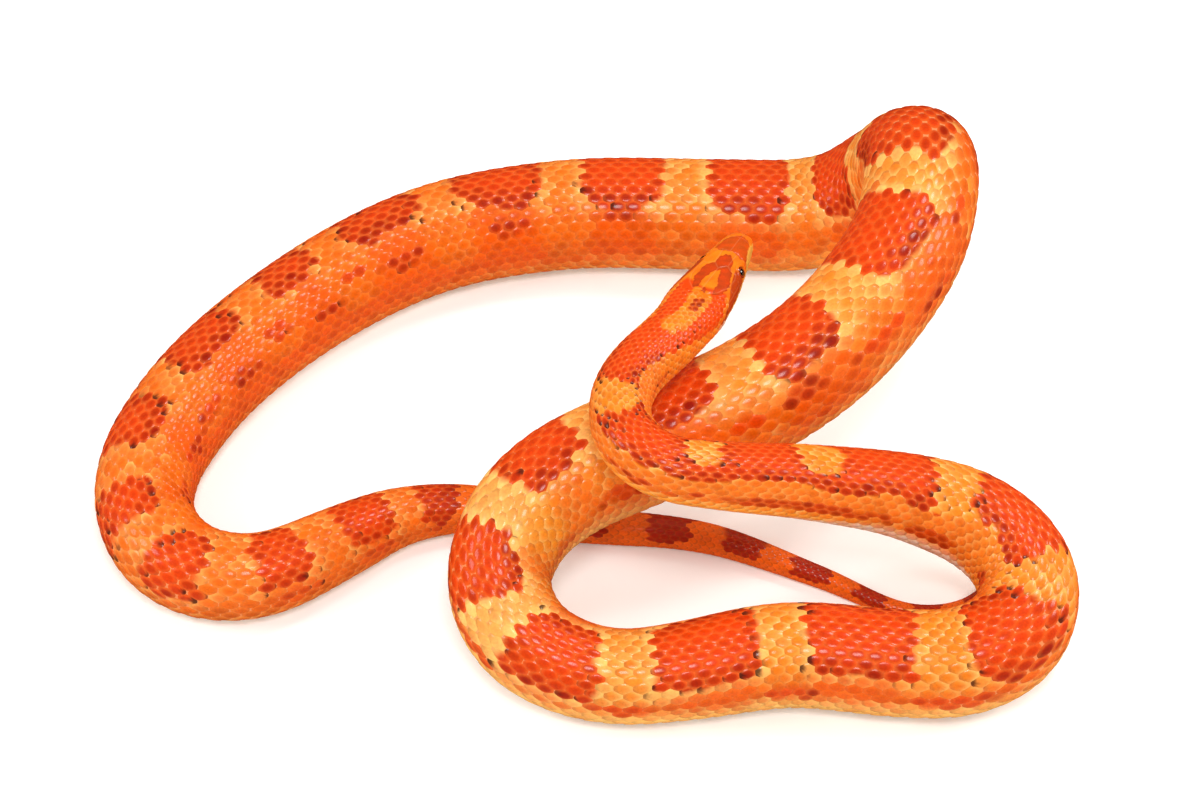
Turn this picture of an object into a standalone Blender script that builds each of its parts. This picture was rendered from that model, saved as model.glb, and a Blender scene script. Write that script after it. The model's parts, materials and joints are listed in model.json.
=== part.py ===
"""Corn snake (Pantherophis guttatus), life size, resting in a loose coil.

The animal is one sweep along its spine, from the snout to the tip of the tail. A belly line, chosen by
hand, gives the pose. Head and body sections are set square to it, and the sweep is parted by thin square
cuts into head, jaw, neck, trunk and tail lengths. Where the belly line touches the ground the belly is a
flat at z = 0.

Frame: metres, +Z up, ground at z = 0, +X along the longest extent, the origin under the middle.
"""
import math
from dataclasses import dataclass

import bmesh
import bpy
import numpy as np
from mathutils import Vector

MM = 0.001

# The pose. Waypoints of the belly line in mm: x, y and the lift of the belly above the ground.
BELLY_LINE = [
    # head, held level above the thickest coil
    (47.5, 26.5, 58.0), (37.5, 6.0, 57.0), (25.5, -14.0, 56.0),
    # neck, turning back over that coil
    (16.5, -24.0, 55.5), (12.0, -36.5, 55.5), (15.0, -49.5, 55.0), (24.0, -56.0, 53.5), (35.5, -56.0, 50.5),
    # front of the body, coming down to the right
    (64.5, -49.0, 37.0), (95.5, -44.5, 21.5), (110.0, -47.5, 15.5),
    # right bend, just high enough for the tail's tip to lie under it
    (119.5, -55.0, 11.5), (123.0, -66.5, 8.5), (118.0, -78.0, 5.0), (105.0, -84.0, 1.0),
    # front length that lies on the ground
    (89.0, -84.0, 0.0), (58.0, -81.0, 0.0), (28.0, -86.0, 0.0), (13.5, -87.5, 0.0), (-1.0, -85.0, 1.0),
    # left bend, rising over the tail
    (-13.5, -78.0, 3.5), (-20.5, -64.0, 8.0), (-15.5, -48.5, 14.0), (-2.5, -36.5, 17.5),
    # thickest length, climbing into the arch
    (14.0, -28.5, 19.5), (49.5, -15.5, 27.5), (67.5, -4.0, 32.5), (83.5, 13.5, 37.0), (95.5, 35.5, 40.0),
    # top of the arch and the way down behind it
    (99.5, 56.0, 41.0), (99.0, 71.0, 32.5), (92.5, 78.5, 16.5), (80.0, 79.5, 4.0), (64.0, 79.5, 0.0),
    # rear length on the ground, behind everything
    (42.0, 80.0, 0.0), (-5.0, 80.0, 0.0), (-39.5, 72.0, 0.0), (-84.5, 41.0, 0.0), (-114.0, 1.5, 0.0),
    # left loop
    (-120.5, -16.5, 0.0), (-120.5, -32.0, 0.0), (-114.0, -45.0, 0.0), (-103.5, -52.5, 0.0),
    (-92.0, -54.0, 0.0), (-63.5, -39.5, 0.0), (-50.5, -31.0, 0.0),
    # tail, passing under the left bend and ending under the right one
    (-35.5, -27.0, 0.0), (1.5, -31.5, 0.0), (38.0, -36.0, 0.0), (68.0, -48.5, 0.0), (96.5, -60.5, 0.0),
    (107.5, -58.0, 0.0), (121.0, -43.0, 0.0),
]
MIDDLE = (0.6, -1.2)    # middle of that pose's box, x and y in mm, which becomes the origin
SPINE_STEP = 0.5        # spacing of the points along the smooth line
POSE_SMOOTHING = 4.0    # spread of the running average that rounds the line

# Head sections: distance from the snout, width, rise above the axis and depth below it, in mm.
HEAD_SECTIONS = [
    (0.0, 2.2, 1.2, 0.9), (0.3, 3.9, 2.0, 1.6), (0.9, 5.4, 2.6, 2.3), (1.8, 6.6, 3.1, 2.9),
    (3.0, 7.5, 3.5, 3.3), (5.0, 8.6, 4.0, 3.7), (8.0, 9.9, 4.5, 4.2), (11.0, 11.2, 4.9, 4.5),
    (15.0, 12.8, 5.3, 4.8), (20.0, 14.7, 5.8, 5.2), (25.0, 16.3, 6.2, 5.6), (29.0, 17.2, 6.5, 5.9),
    (32.0, 17.5, 6.7, 6.1), (35.0, 17.2, 6.9, 6.4), (39.0, 16.4, 7.1, 6.7),
]
# Body widths: distance from the snout, width, in mm.
BODY_WIDTHS = [
    (46.0, 15.9), (70.0, 16.4), (100.0, 17.0), (130.0, 19.0), (160.0, 21.6), (190.0, 25.6), (215.0, 26.8),
    (243.0, 28.2), (300.0, 27.2), (340.0, 24.8), (385.0, 28.0), (420.0, 31.6), (460.0, 33.0),
    (640.0, 33.0), (740.0, 32.0), (800.0, 30.0), (860.0, 28.4), (900.0, 25.6), (930.0, 22.4),
    (955.0, 19.4), (975.0, 15.4), (995.0, 12.6), (1030.0, 9.8), (1060.0, 8.4), (1090.0, 6.2),
    (1125.0, 4.0), (1147.0, 2.4), (1157.0, 1.0),
]
BACK_SHARE = 0.485      # rise of the back above the spine, as a share of the width
BELLY_SHARE = 0.455     # depth below the spine before the belly is flattened
FLAT_SHARE = 0.93       # the flat belly lies at this share of that depth
BACK_ROUNDNESS = 2.15   # superellipse power of the upper half of a body section
SIDE_ROUNDNESS = 2.6    # and of its lower half, whose corners are fuller
HEAD_ROUNDNESS = 2.6    # upper half of a head section, flatter on top
NECK_START = 34.0       # where the head's section changes to the body's
NECK_END = 60.0

CUT = 0.3               # gap that parts two neighbouring solids
RING_STEP = 8.0         # longest step between rings on a straight stretch
RING_TURN = math.radians(13.0)  # sharpest turn between two rings

# Lengths the body is parted into: where each ends, in mm from the snout, and its sides round.
HEAD_END = 36.0
LENGTHS = [
    ("neck_1", 70.0, 20), ("neck_2", 110.0, 20),
    ("trunk_01", 165.0, 24), ("trunk_02", 218.0, 24), ("trunk_03", 262.0, 24), ("trunk_04", 325.0, 24),
    ("trunk_05", 372.0, 24), ("trunk_06", 416.0, 24), ("trunk_07", 480.0, 24), ("trunk_08", 542.0, 24),
    ("trunk_09", 584.0, 24), ("trunk_10", 628.0, 24), ("trunk_11", 700.0, 24), ("trunk_12", 775.0, 24),
    ("trunk_13", 850.0, 24), ("trunk_14", 893.0, 24), ("trunk_15", 940.0, 24), ("trunk_16", 984.0, 24),
    ("tail_1", 1045.0, 16), ("tail_2", 1105.0, 14), ("tail_3", None, 12),
]

# Head details, in mm, in the head's own terms: along from the snout, out to the side, up from the axis.
HEAD_RINGS = [0.0, 0.3, 0.9, 1.8, 3.0, 4.4, 6.0, 7.6, 9.2, 10.8, 12.4, 14.2, 16.2, 18.4, 20.8, 23.2, 25.6,
              28.0, 30.4, 33.2]
HEAD_SIDES = 28
MOUTH_LINE = [(-3.0, -1.1), (0.0, -1.1), (3.0, -1.4), (8.0, -1.8), (13.0, -2.1), (20.0, -2.3), (25.0, -1.7),
              (29.0, -0.8)]
MOUTH_CORNER = 29.0
JAW_INSET = 0.96        # the lower jaw is this much narrower than the upper lip
JAW_SET_BACK = 0.7      # and starts this far behind the snout
EYE_ALONG = 15.9
EYE_OUT = 4.65
EYE_UP = 1.6
EYE_RADIUS = 2.1
NOSTRIL_ALONG = 3.0
NOSTRIL_OUT = 3.6
NOSTRIL_UP = 1.0
NOSTRIL_RADIUS = 0.5

# Base colours, linear RGB, with roughness.
SKIN = ("skin", (0.72, 0.13, 0.02), 0.35)
LIP = ("lip", (0.80, 0.36, 0.12), 0.35)
EYE = ("eye", (0.02, 0.006, 0.004), 0.08)


@dataclass(frozen=True)
class Frame:
    """Position and axes at one distance along the spine, in mm."""

    centre: np.ndarray
    along: np.ndarray    # towards the tail
    side: np.ndarray     # the animal's left
    up: np.ndarray

    def point(self, out: float, up: float, along: float = 0.0) -> np.ndarray:
        """A point given in the frame's own axes."""
        return self.centre + self.side * out + self.up * up + self.along * along


def resample(points: np.ndarray, step: float) -> tuple[np.ndarray, np.ndarray]:
    """Points at equal distances along a polyline, and those distances."""
    chords = np.linalg.norm(np.diff(points, axis=0), axis=1)
    travelled = np.concatenate([[0.0], np.cumsum(chords)])
    count = round(travelled[-1] / step)
    distance = np.linspace(0.0, travelled[-1], count + 1)
    columns = [np.interp(distance, travelled, points[:, axis]) for axis in range(points.shape[1])]
    return np.stack(columns, axis=1), distance


def hermite(points: np.ndarray, parts: int = 24) -> np.ndarray:
    """A smooth curve through the waypoints, with slopes taken over uneven chords."""
    chords = np.linalg.norm(np.diff(points, axis=0), axis=1)
    knots = np.concatenate([[0.0], np.cumsum(chords)])
    slopes = np.gradient(points, knots, axis=0)
    spans = []
    for index in range(len(points) - 1):
        t = np.linspace(0.0, 1.0, parts, endpoint=False)[:, None]
        span = knots[index + 1] - knots[index]
        spans.append(
            points[index] * (1 + 2 * t) * (1 - t) ** 2
            + slopes[index] * span * t * (1 - t) ** 2
            + points[index + 1] * t * t * (3 - 2 * t)
            + slopes[index + 1] * span * t * t * (t - 1)
        )
    spans.append(points[-1:])
    return np.concatenate(spans)


def running_average(points: np.ndarray, spread: float, step: float) -> np.ndarray:
    """The points under a Gaussian running average, with both ends kept."""
    reach = int(4 * spread / step)
    weights = np.exp(-0.5 * (np.arange(-reach, reach + 1) * step / spread) ** 2)
    weights /= weights.sum()
    before = 2 * points[0] - points[reach:0:-1]
    after = 2 * points[-1] - points[-2:-reach - 2:-1]
    padded = np.vstack([before, points, after])
    columns = [np.convolve(padded[:, axis], weights, mode="valid") for axis in range(points.shape[1])]
    return np.stack(columns, axis=1)


def smooth_table(stations: list[tuple[float, ...]], column: int, distance: np.ndarray) -> np.ndarray:
    """One column of a table, rounded between its stations without overshooting them."""
    xs = np.array([row[0] for row in stations])
    ys = np.array([row[column] for row in stations])
    gaps = np.diff(xs)
    grades = np.diff(ys) / gaps
    slopes = np.concatenate([[grades[0]], np.zeros(len(xs) - 2), [grades[-1]]])
    for k in range(1, len(xs) - 1):
        if grades[k - 1] * grades[k] > 0:
            first = 2 * gaps[k] + gaps[k - 1]
            second = gaps[k] + 2 * gaps[k - 1]
            slopes[k] = (first + second) / (first / grades[k - 1] + second / grades[k])
    where = np.clip(np.searchsorted(xs, distance, side="right") - 1, 0, len(xs) - 2)
    t = np.clip((distance - xs[where]) / gaps[where], 0.0, 1.0)
    return (
        ys[where] * (1 + 2 * t) * (1 - t) ** 2
        + slopes[where] * gaps[where] * t * (1 - t) ** 2
        + ys[where + 1] * t * t * (3 - 2 * t)
        + slopes[where + 1] * gaps[where] * t * t * (t - 1)
    )


class Body:
    """The snake's spine, its frames and its sections, all in mm."""

    def __init__(self) -> None:
        line, _ = resample(hermite(np.array(BELLY_LINE)), SPINE_STEP)
        line[:, 2] = np.maximum(line[:, 2], 0.0)
        line = running_average(line, POSE_SMOOTHING, SPINE_STEP)
        line[:, 2] = np.where(line[:, 2] < 0.01, 0.0, line[:, 2])
        line[:, :2] -= MIDDLE
        self.line, self.distance = resample(line, SPINE_STEP)
        self.length = float(self.distance[-1])
        tables = HEAD_SECTIONS + [
            (at, width, width * BACK_SHARE, width * BELLY_SHARE) for at, width in BODY_WIDTHS
        ]
        self.width, self.rise, self.depth = (
            smooth_table(tables, column, self.distance) for column in (1, 2, 3)
        )
        along = np.gradient(self.line, axis=0)
        self.along = along / np.linalg.norm(along, axis=1)[:, None]
        up = np.array([0.0, 0.0, 1.0]) - self.along * self.along[:, 2:3]
        self.up = up / np.linalg.norm(up, axis=1)[:, None]
        self.side = np.cross(self.along, self.up)
        self.centre = self.line.copy()
        self.centre[:, 2] += FLAT_SHARE * self.depth

    def value(self, table: np.ndarray, at: float) -> float:
        """One of the body's tables at a distance from the snout."""
        return float(np.interp(at, self.distance, table))

    def frame(self, at: float) -> Frame:
        """Position and axes at a distance from the snout; ahead of the snout the line runs on straight."""
        inside = min(max(at, 0.0), self.length)
        axes = []
        for table in (self.centre, self.along, self.side, self.up):
            axes.append(np.array([np.interp(inside, self.distance, table[:, axis]) for axis in range(3)]))
        centre, along, side, up = axes
        along = along / np.linalg.norm(along)
        return Frame(centre + along * (at - inside), along, side / np.linalg.norm(side), up / np.linalg.norm(up))

    def ring(self, at: float, sides: int, width_share: float = 1.0) -> list[np.ndarray]:
        """The section at a distance from the snout, as points from the middle of the back round to the left."""
        frame = self.frame(at)
        half = self.value(self.width, at) / 2 * width_share
        rise = self.value(self.rise, at)
        depth = self.value(self.depth, at)
        neck = min(max((at - NECK_START) / (NECK_END - NECK_START), 0.0), 1.0)
        back = HEAD_ROUNDNESS + (BACK_ROUNDNESS - HEAD_ROUNDNESS) * neck
        points = []
        for index in range(sides):
            angle = 2 * math.pi * index / sides
            sine = math.sin(angle)
            cosine = math.cos(angle)
            power = 2 / (back if cosine > 0 else SIDE_ROUNDNESS)
            out = half * math.copysign(abs(sine) ** power, sine)
            height = (rise if cosine > 0 else depth) * math.copysign(abs(cosine) ** power, cosine)
            points.append(frame.point(out, max(height, -FLAT_SHARE * depth)))
        return points

    def stations(self, start: float, end: float) -> list[float]:
        """Distances of a length's rings, closer together where it bends."""
        at = np.arange(start, end, SPINE_STEP)
        at = np.append(at, end)
        axes = np.stack([np.interp(at, self.distance, self.along[:, axis]) for axis in range(3)], axis=1)
        turns = np.arccos(np.clip((axes[1:] * axes[:-1]).sum(axis=1), -1.0, 1.0))
        cost = np.concatenate([[0.0], np.cumsum(np.hypot(np.diff(at) / RING_STEP, turns / RING_TURN))])
        count = max(2, math.ceil(cost[-1]))
        return [float(x) for x in np.interp(np.linspace(0.0, cost[-1], count + 1), cost, at)]


def material(name: str, colour: tuple[float, float, float], roughness: float) -> bpy.types.Material:
    """A Principled material with one colour."""
    made = bpy.data.materials.new(name)
    made.use_nodes = True
    made.diffuse_color = (*colour, 1.0)
    shader = made.node_tree.nodes["Principled BSDF"]
    shader.inputs["Base Color"].default_value = (*colour, 1.0)
    shader.inputs["Roughness"].default_value = roughness
    shader.inputs["Metallic"].default_value = 0.0
    return made


def loft(name: str, rings: list[list[np.ndarray]], group: bpy.types.Collection) -> bpy.types.Object:
    """A closed solid through rings of equal count, with flat ends; ring points are in mm."""
    mesh = bpy.data.meshes.new(name)
    bm = bmesh.new()
    rows = [[bm.verts.new(Vector(point) * MM) for point in ring] for ring in rings]
    for row, following in zip(rows, rows[1:]):
        for index in range(len(row)):
            after = (index + 1) % len(row)
            bm.faces.new((row[index], following[index], following[after], row[after]))
    bm.faces.new(rows[0])
    bm.faces.new(rows[-1])
    bmesh.ops.recalc_face_normals(bm, faces=bm.faces)
    bm.to_mesh(mesh)
    bm.free()
    mesh.shade_smooth()
    mesh.set_sharp_from_angle(angle=math.radians(40.0))
    solid = bpy.data.objects.new(name, mesh)
    group.objects.link(solid)
    return solid


def ball(name: str, centre: np.ndarray, radius: float, group: bpy.types.Collection) -> bpy.types.Object:
    """A sphere at a point in mm."""
    mesh = bpy.data.meshes.new(name)
    bm = bmesh.new()
    bmesh.ops.create_uvsphere(bm, u_segments=16, v_segments=10, radius=radius * MM)
    bm.to_mesh(mesh)
    bm.free()
    mesh.shade_smooth()
    sphere = bpy.data.objects.new(name, mesh)
    sphere.location = Vector(centre) * MM
    group.objects.link(sphere)
    return sphere


def use_cutter(solid: bpy.types.Object, cutter: bpy.types.Object, operation: str) -> None:
    """Cut a solid with another, or keep only what lies in it."""
    cutter.hide_render = True
    cutter.display_type = "WIRE"
    boolean = solid.modifiers.new(cutter.name, "BOOLEAN")
    boolean.operation = operation
    boolean.solver = "EXACT"
    boolean.object = cutter


def jaw_room(body: Body, name: str, grow: float, group: bpy.types.Collection) -> bpy.types.Object:
    """The space below the mouth line, ahead of the corner of the mouth."""
    reach = 14.0
    table = np.array(MOUTH_LINE)
    rings = []
    for at in np.linspace(-2.0 - grow, MOUTH_CORNER + grow, 16):
        frame = body.frame(float(at))
        line = float(np.interp(at, table[:, 0], table[:, 1])) + grow
        rings.append([
            frame.point(reach, line), frame.point(reach, -reach),
            frame.point(-reach, -reach), frame.point(-reach, line),
        ])
    return loft(name, rings, group)


def make_head(body: Body, parts: bpy.types.Collection, cutters: bpy.types.Collection) -> None:
    """Upper head, lower jaw and both eyes, with sockets and nostrils."""
    skin = material(*SKIN)
    end = HEAD_END - CUT / 2
    head = loft("head", [body.ring(at, HEAD_SIDES) for at in [*HEAD_RINGS, end]], parts)
    head.data.materials.append(skin)
    use_cutter(head, jaw_room(body, "cut_jaw_clear", CUT / 2, cutters), "DIFFERENCE")

    jaw_rings = [at for at in HEAD_RINGS if at > JAW_SET_BACK] + [end]
    jaw = loft("jaw", [body.ring(at, HEAD_SIDES, JAW_INSET) for at in jaw_rings], parts)
    jaw.data.materials.append(material(*LIP))
    use_cutter(jaw, jaw_room(body, "cut_jaw_keep", -CUT / 2, cutters), "INTERSECT")

    eye_material = material(*EYE)
    for name, hand in (("left", 1), ("right", -1)):
        centre = body.frame(EYE_ALONG).point(hand * EYE_OUT, EYE_UP)
        eye = ball("eye_" + name, centre, EYE_RADIUS, parts)
        eye.data.materials.append(eye_material)
        use_cutter(head, ball("cut_socket_" + name, centre, EYE_RADIUS + CUT, cutters), "DIFFERENCE")
        nostril = body.frame(NOSTRIL_ALONG).point(hand * NOSTRIL_OUT, NOSTRIL_UP)
        use_cutter(head, ball("cut_nostril_" + name, nostril, NOSTRIL_RADIUS, cutters), "DIFFERENCE")


def make_lengths(body: Body, parts: bpy.types.Collection) -> None:
    """Neck, trunk and tail, each length a solid of its own."""
    skin = material("body_skin", SKIN[1], SKIN[2])
    start = HEAD_END
    for name, end, sides in LENGTHS:
        last = end is None
        stop = body.length if last else end - CUT / 2
        rings = [body.ring(at, sides) for at in body.stations(start + CUT / 2, stop)]
        loft(name, rings, parts).data.materials.append(skin)
        start = end


def main() -> None:
    """Clear the scene and build the snake."""
    for leftover in list(bpy.data.objects):
        bpy.data.objects.remove(leftover, do_unlink=True)
    parts = bpy.data.collections.new("corn_snake")
    cutters = bpy.data.collections.new("cutters")
    bpy.context.scene.collection.children.link(parts)
    bpy.context.scene.collection.children.link(cutters)
    body = Body()
    make_head(body, parts, cutters)
    make_lengths(body, parts)
    print(f"corn snake: {body.length:.0f} mm from snout to tail tip")


if __name__ == "__main__":
    main()
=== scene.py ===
"""Looks of a life-size corn snake, as a still museum-type model.

One skin with carved head plates lies under a coat of overlapping scales, belly scutes and two glossy
eyes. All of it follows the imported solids, whose pose and sizes are repeated here in millimetres.
"""

import json
import logging
import math
from dataclasses import dataclass, field
from enum import Enum

import bmesh
import bpy
import numpy as np
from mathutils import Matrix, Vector, kdtree

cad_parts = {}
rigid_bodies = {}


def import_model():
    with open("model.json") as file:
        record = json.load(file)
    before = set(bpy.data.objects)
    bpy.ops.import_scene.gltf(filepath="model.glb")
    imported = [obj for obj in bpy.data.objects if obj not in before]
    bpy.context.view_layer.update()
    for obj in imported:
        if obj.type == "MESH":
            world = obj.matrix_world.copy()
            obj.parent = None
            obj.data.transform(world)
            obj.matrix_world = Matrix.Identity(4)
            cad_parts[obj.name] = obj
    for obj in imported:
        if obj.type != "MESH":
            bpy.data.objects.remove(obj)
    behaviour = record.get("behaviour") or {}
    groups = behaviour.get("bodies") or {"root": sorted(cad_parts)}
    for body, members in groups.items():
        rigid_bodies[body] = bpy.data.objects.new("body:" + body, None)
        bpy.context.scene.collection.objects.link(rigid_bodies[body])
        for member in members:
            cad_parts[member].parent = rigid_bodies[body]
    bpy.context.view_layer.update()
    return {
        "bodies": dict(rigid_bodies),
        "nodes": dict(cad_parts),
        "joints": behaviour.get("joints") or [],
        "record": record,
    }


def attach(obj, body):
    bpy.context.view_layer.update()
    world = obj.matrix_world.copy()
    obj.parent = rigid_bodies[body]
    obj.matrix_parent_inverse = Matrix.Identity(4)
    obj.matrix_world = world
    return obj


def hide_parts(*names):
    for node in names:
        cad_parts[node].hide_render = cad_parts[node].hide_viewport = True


log = logging.getLogger("corn_snake")

MM = 0.001

# The belly line's waypoints from the snout to the tail: x, y and lift above the floor, in mm.
BELLY_LINE = [
    # head, held level above the thickest coil
    (47.5, 26.5, 58.0), (37.5, 6.0, 57.0), (25.5, -14.0, 56.0),
    # neck, turning back over that coil
    (16.5, -24.0, 55.5), (12.0, -36.5, 55.5), (15.0, -49.5, 55.0), (24.0, -56.0, 53.5), (35.5, -56.0, 50.5),
    # front of the body, coming down to the right
    (64.5, -49.0, 37.0), (95.5, -44.5, 21.5), (110.0, -47.5, 15.5),
    # right bend, just high enough for the tail's tip to lie under it
    (119.5, -55.0, 11.5), (123.0, -66.5, 8.5), (118.0, -78.0, 5.0), (105.0, -84.0, 1.0),
    # front length that lies on the ground
    (89.0, -84.0, 0.0), (58.0, -81.0, 0.0), (28.0, -86.0, 0.0), (13.5, -87.5, 0.0), (-1.0, -85.0, 1.0),
    # left bend, rising over the tail
    (-13.5, -78.0, 3.5), (-20.5, -64.0, 8.0), (-15.5, -48.5, 14.0), (-2.5, -36.5, 17.5),
    # thickest length, climbing into the arch
    (14.0, -28.5, 19.5), (49.5, -15.5, 27.5), (67.5, -4.0, 32.5), (83.5, 13.5, 37.0), (95.5, 35.5, 40.0),
    # top of the arch and the way down behind it
    (99.5, 56.0, 41.0), (99.0, 71.0, 32.5), (92.5, 78.5, 16.5), (80.0, 79.5, 4.0), (64.0, 79.5, 0.0),
    # rear length on the ground, behind everything
    (42.0, 80.0, 0.0), (-5.0, 80.0, 0.0), (-39.5, 72.0, 0.0), (-84.5, 41.0, 0.0), (-114.0, 1.5, 0.0),
    # left loop
    (-120.5, -16.5, 0.0), (-120.5, -32.0, 0.0), (-114.0, -45.0, 0.0), (-103.5, -52.5, 0.0),
    (-92.0, -54.0, 0.0), (-63.5, -39.5, 0.0), (-50.5, -31.0, 0.0),
    # tail, passing under the left bend and ending under the right one
    (-35.5, -27.0, 0.0), (1.5, -31.5, 0.0), (38.0, -36.0, 0.0), (68.0, -48.5, 0.0), (96.5, -60.5, 0.0),
    (107.5, -58.0, 0.0), (121.0, -43.0, 0.0),
]
MIDDLE = (0.6, -1.2)
SPINE_STEP = 0.5
POSE_SMOOTHING = 4.0

# Head sections: distance from the snout, width, rise above the axis and depth below it, in mm.
HEAD_SECTIONS = [
    (0.0, 2.2, 1.2, 0.9), (0.3, 3.9, 2.0, 1.6), (0.9, 5.4, 2.6, 2.3), (1.8, 6.6, 3.1, 2.9),
    (3.0, 7.5, 3.5, 3.3), (5.0, 8.6, 4.0, 3.7), (8.0, 9.9, 4.5, 4.2), (11.0, 11.2, 4.9, 4.5),
    (15.0, 12.8, 5.3, 4.8), (20.0, 14.7, 5.8, 5.2), (25.0, 16.3, 6.2, 5.6), (29.0, 17.2, 6.5, 5.9),
    (32.0, 17.5, 6.7, 6.1), (35.0, 17.2, 6.9, 6.4), (39.0, 16.4, 7.1, 6.7),
]
# Body widths: distance from the snout, width, in mm.
BODY_WIDTHS = [
    (46.0, 15.9), (70.0, 16.4), (100.0, 17.0), (130.0, 19.0), (160.0, 21.6), (190.0, 25.6), (215.0, 26.8),
    (243.0, 28.2), (300.0, 27.2), (340.0, 24.8), (385.0, 28.0), (420.0, 31.6), (460.0, 33.0),
    (640.0, 33.0), (740.0, 32.0), (800.0, 30.0), (860.0, 28.4), (900.0, 25.6), (930.0, 22.4),
    (955.0, 19.4), (975.0, 15.4), (995.0, 12.6), (1030.0, 9.8), (1060.0, 8.4), (1090.0, 6.2),
    (1125.0, 4.0), (1147.0, 2.4), (1157.0, 1.0),
]
BACK_SHARE = 0.485
BELLY_SHARE = 0.455
FLAT_SHARE = 0.93
BACK_ROUNDNESS = 2.15
SIDE_ROUNDNESS = 2.6
HEAD_ROUNDNESS = 2.6
NECK_START = 34.0
NECK_END = 60.0

MOUTH_LINE = [
    (-3.0, -1.1), (0.0, -1.1), (3.0, -1.4), (8.0, -1.8), (13.0, -2.1), (20.0, -2.3), (25.0, -1.7), (29.0, -0.8),
]
EYE_ALONG = 15.9
EYE_OUT = 4.65
EYE_UP = 1.6
EYE_RADIUS = 2.1
NOSTRIL = (3.0, 3.6, 1.0)
COAT_ROOM = 0.20        # the skin lies this far inside the solids where the body is thick, in mm
FLANK_SHARE = 0.78      # share of the way round, from back to belly, that the small scales cover


def linear(code: str) -> tuple[float, float, float]:
    """An sRGB hex value as linear red, green and blue.

    Args:
        code: Six hex digits after a hash.

    Returns:
        The three linear values.
    """
    values = [int(code[k:k + 2], 16) / 255 for k in (1, 3, 5)]
    red, green, blue = (v / 12.92 if v <= 0.04045 else ((v + 0.055) / 1.055) ** 2.4 for v in values)
    return red, green, blue


def smoothstep(low: float | np.ndarray, high: float | np.ndarray, value: np.ndarray) -> np.ndarray:
    """A smooth rise from 0 at low to 1 at high.

    Args:
        low: Where the rise starts.
        high: Where it ends.
        value: Values to judge.

    Returns:
        Shares between 0 and 1.
    """
    t = np.clip((value - low) / (high - low), 0.0, 1.0)
    return t * t * (3 - 2 * t)


def mix(first: np.ndarray, second: np.ndarray, share: np.ndarray) -> np.ndarray:
    """Blend rows of colours by a share for each row.

    Args:
        first: Colours at share 0.
        second: Colours at share 1.
        share: One share for each row.

    Returns:
        The blended rows.
    """
    return first + (second - first) * np.clip(share, 0.0, 1.0)[:, None]


def noise(seed: int, *where: np.ndarray) -> np.ndarray:
    """Smooth, repeatable variation between about -1 and 1 from a few sines.

    Args:
        seed: Picks the pattern.
        where: Coordinates, each already divided by the size of the variation.

    Returns:
        One value for each place.
    """
    draw = np.random.default_rng(seed)
    total = np.zeros_like(where[0])
    for _ in range(7):
        phase = draw.uniform(0, 2 * math.pi)
        turn = sum(axis * draw.uniform(-1.9, 1.9) for axis in where)
        total = total + np.sin(2 * math.pi * turn + phase)
    return total / 3.2


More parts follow.
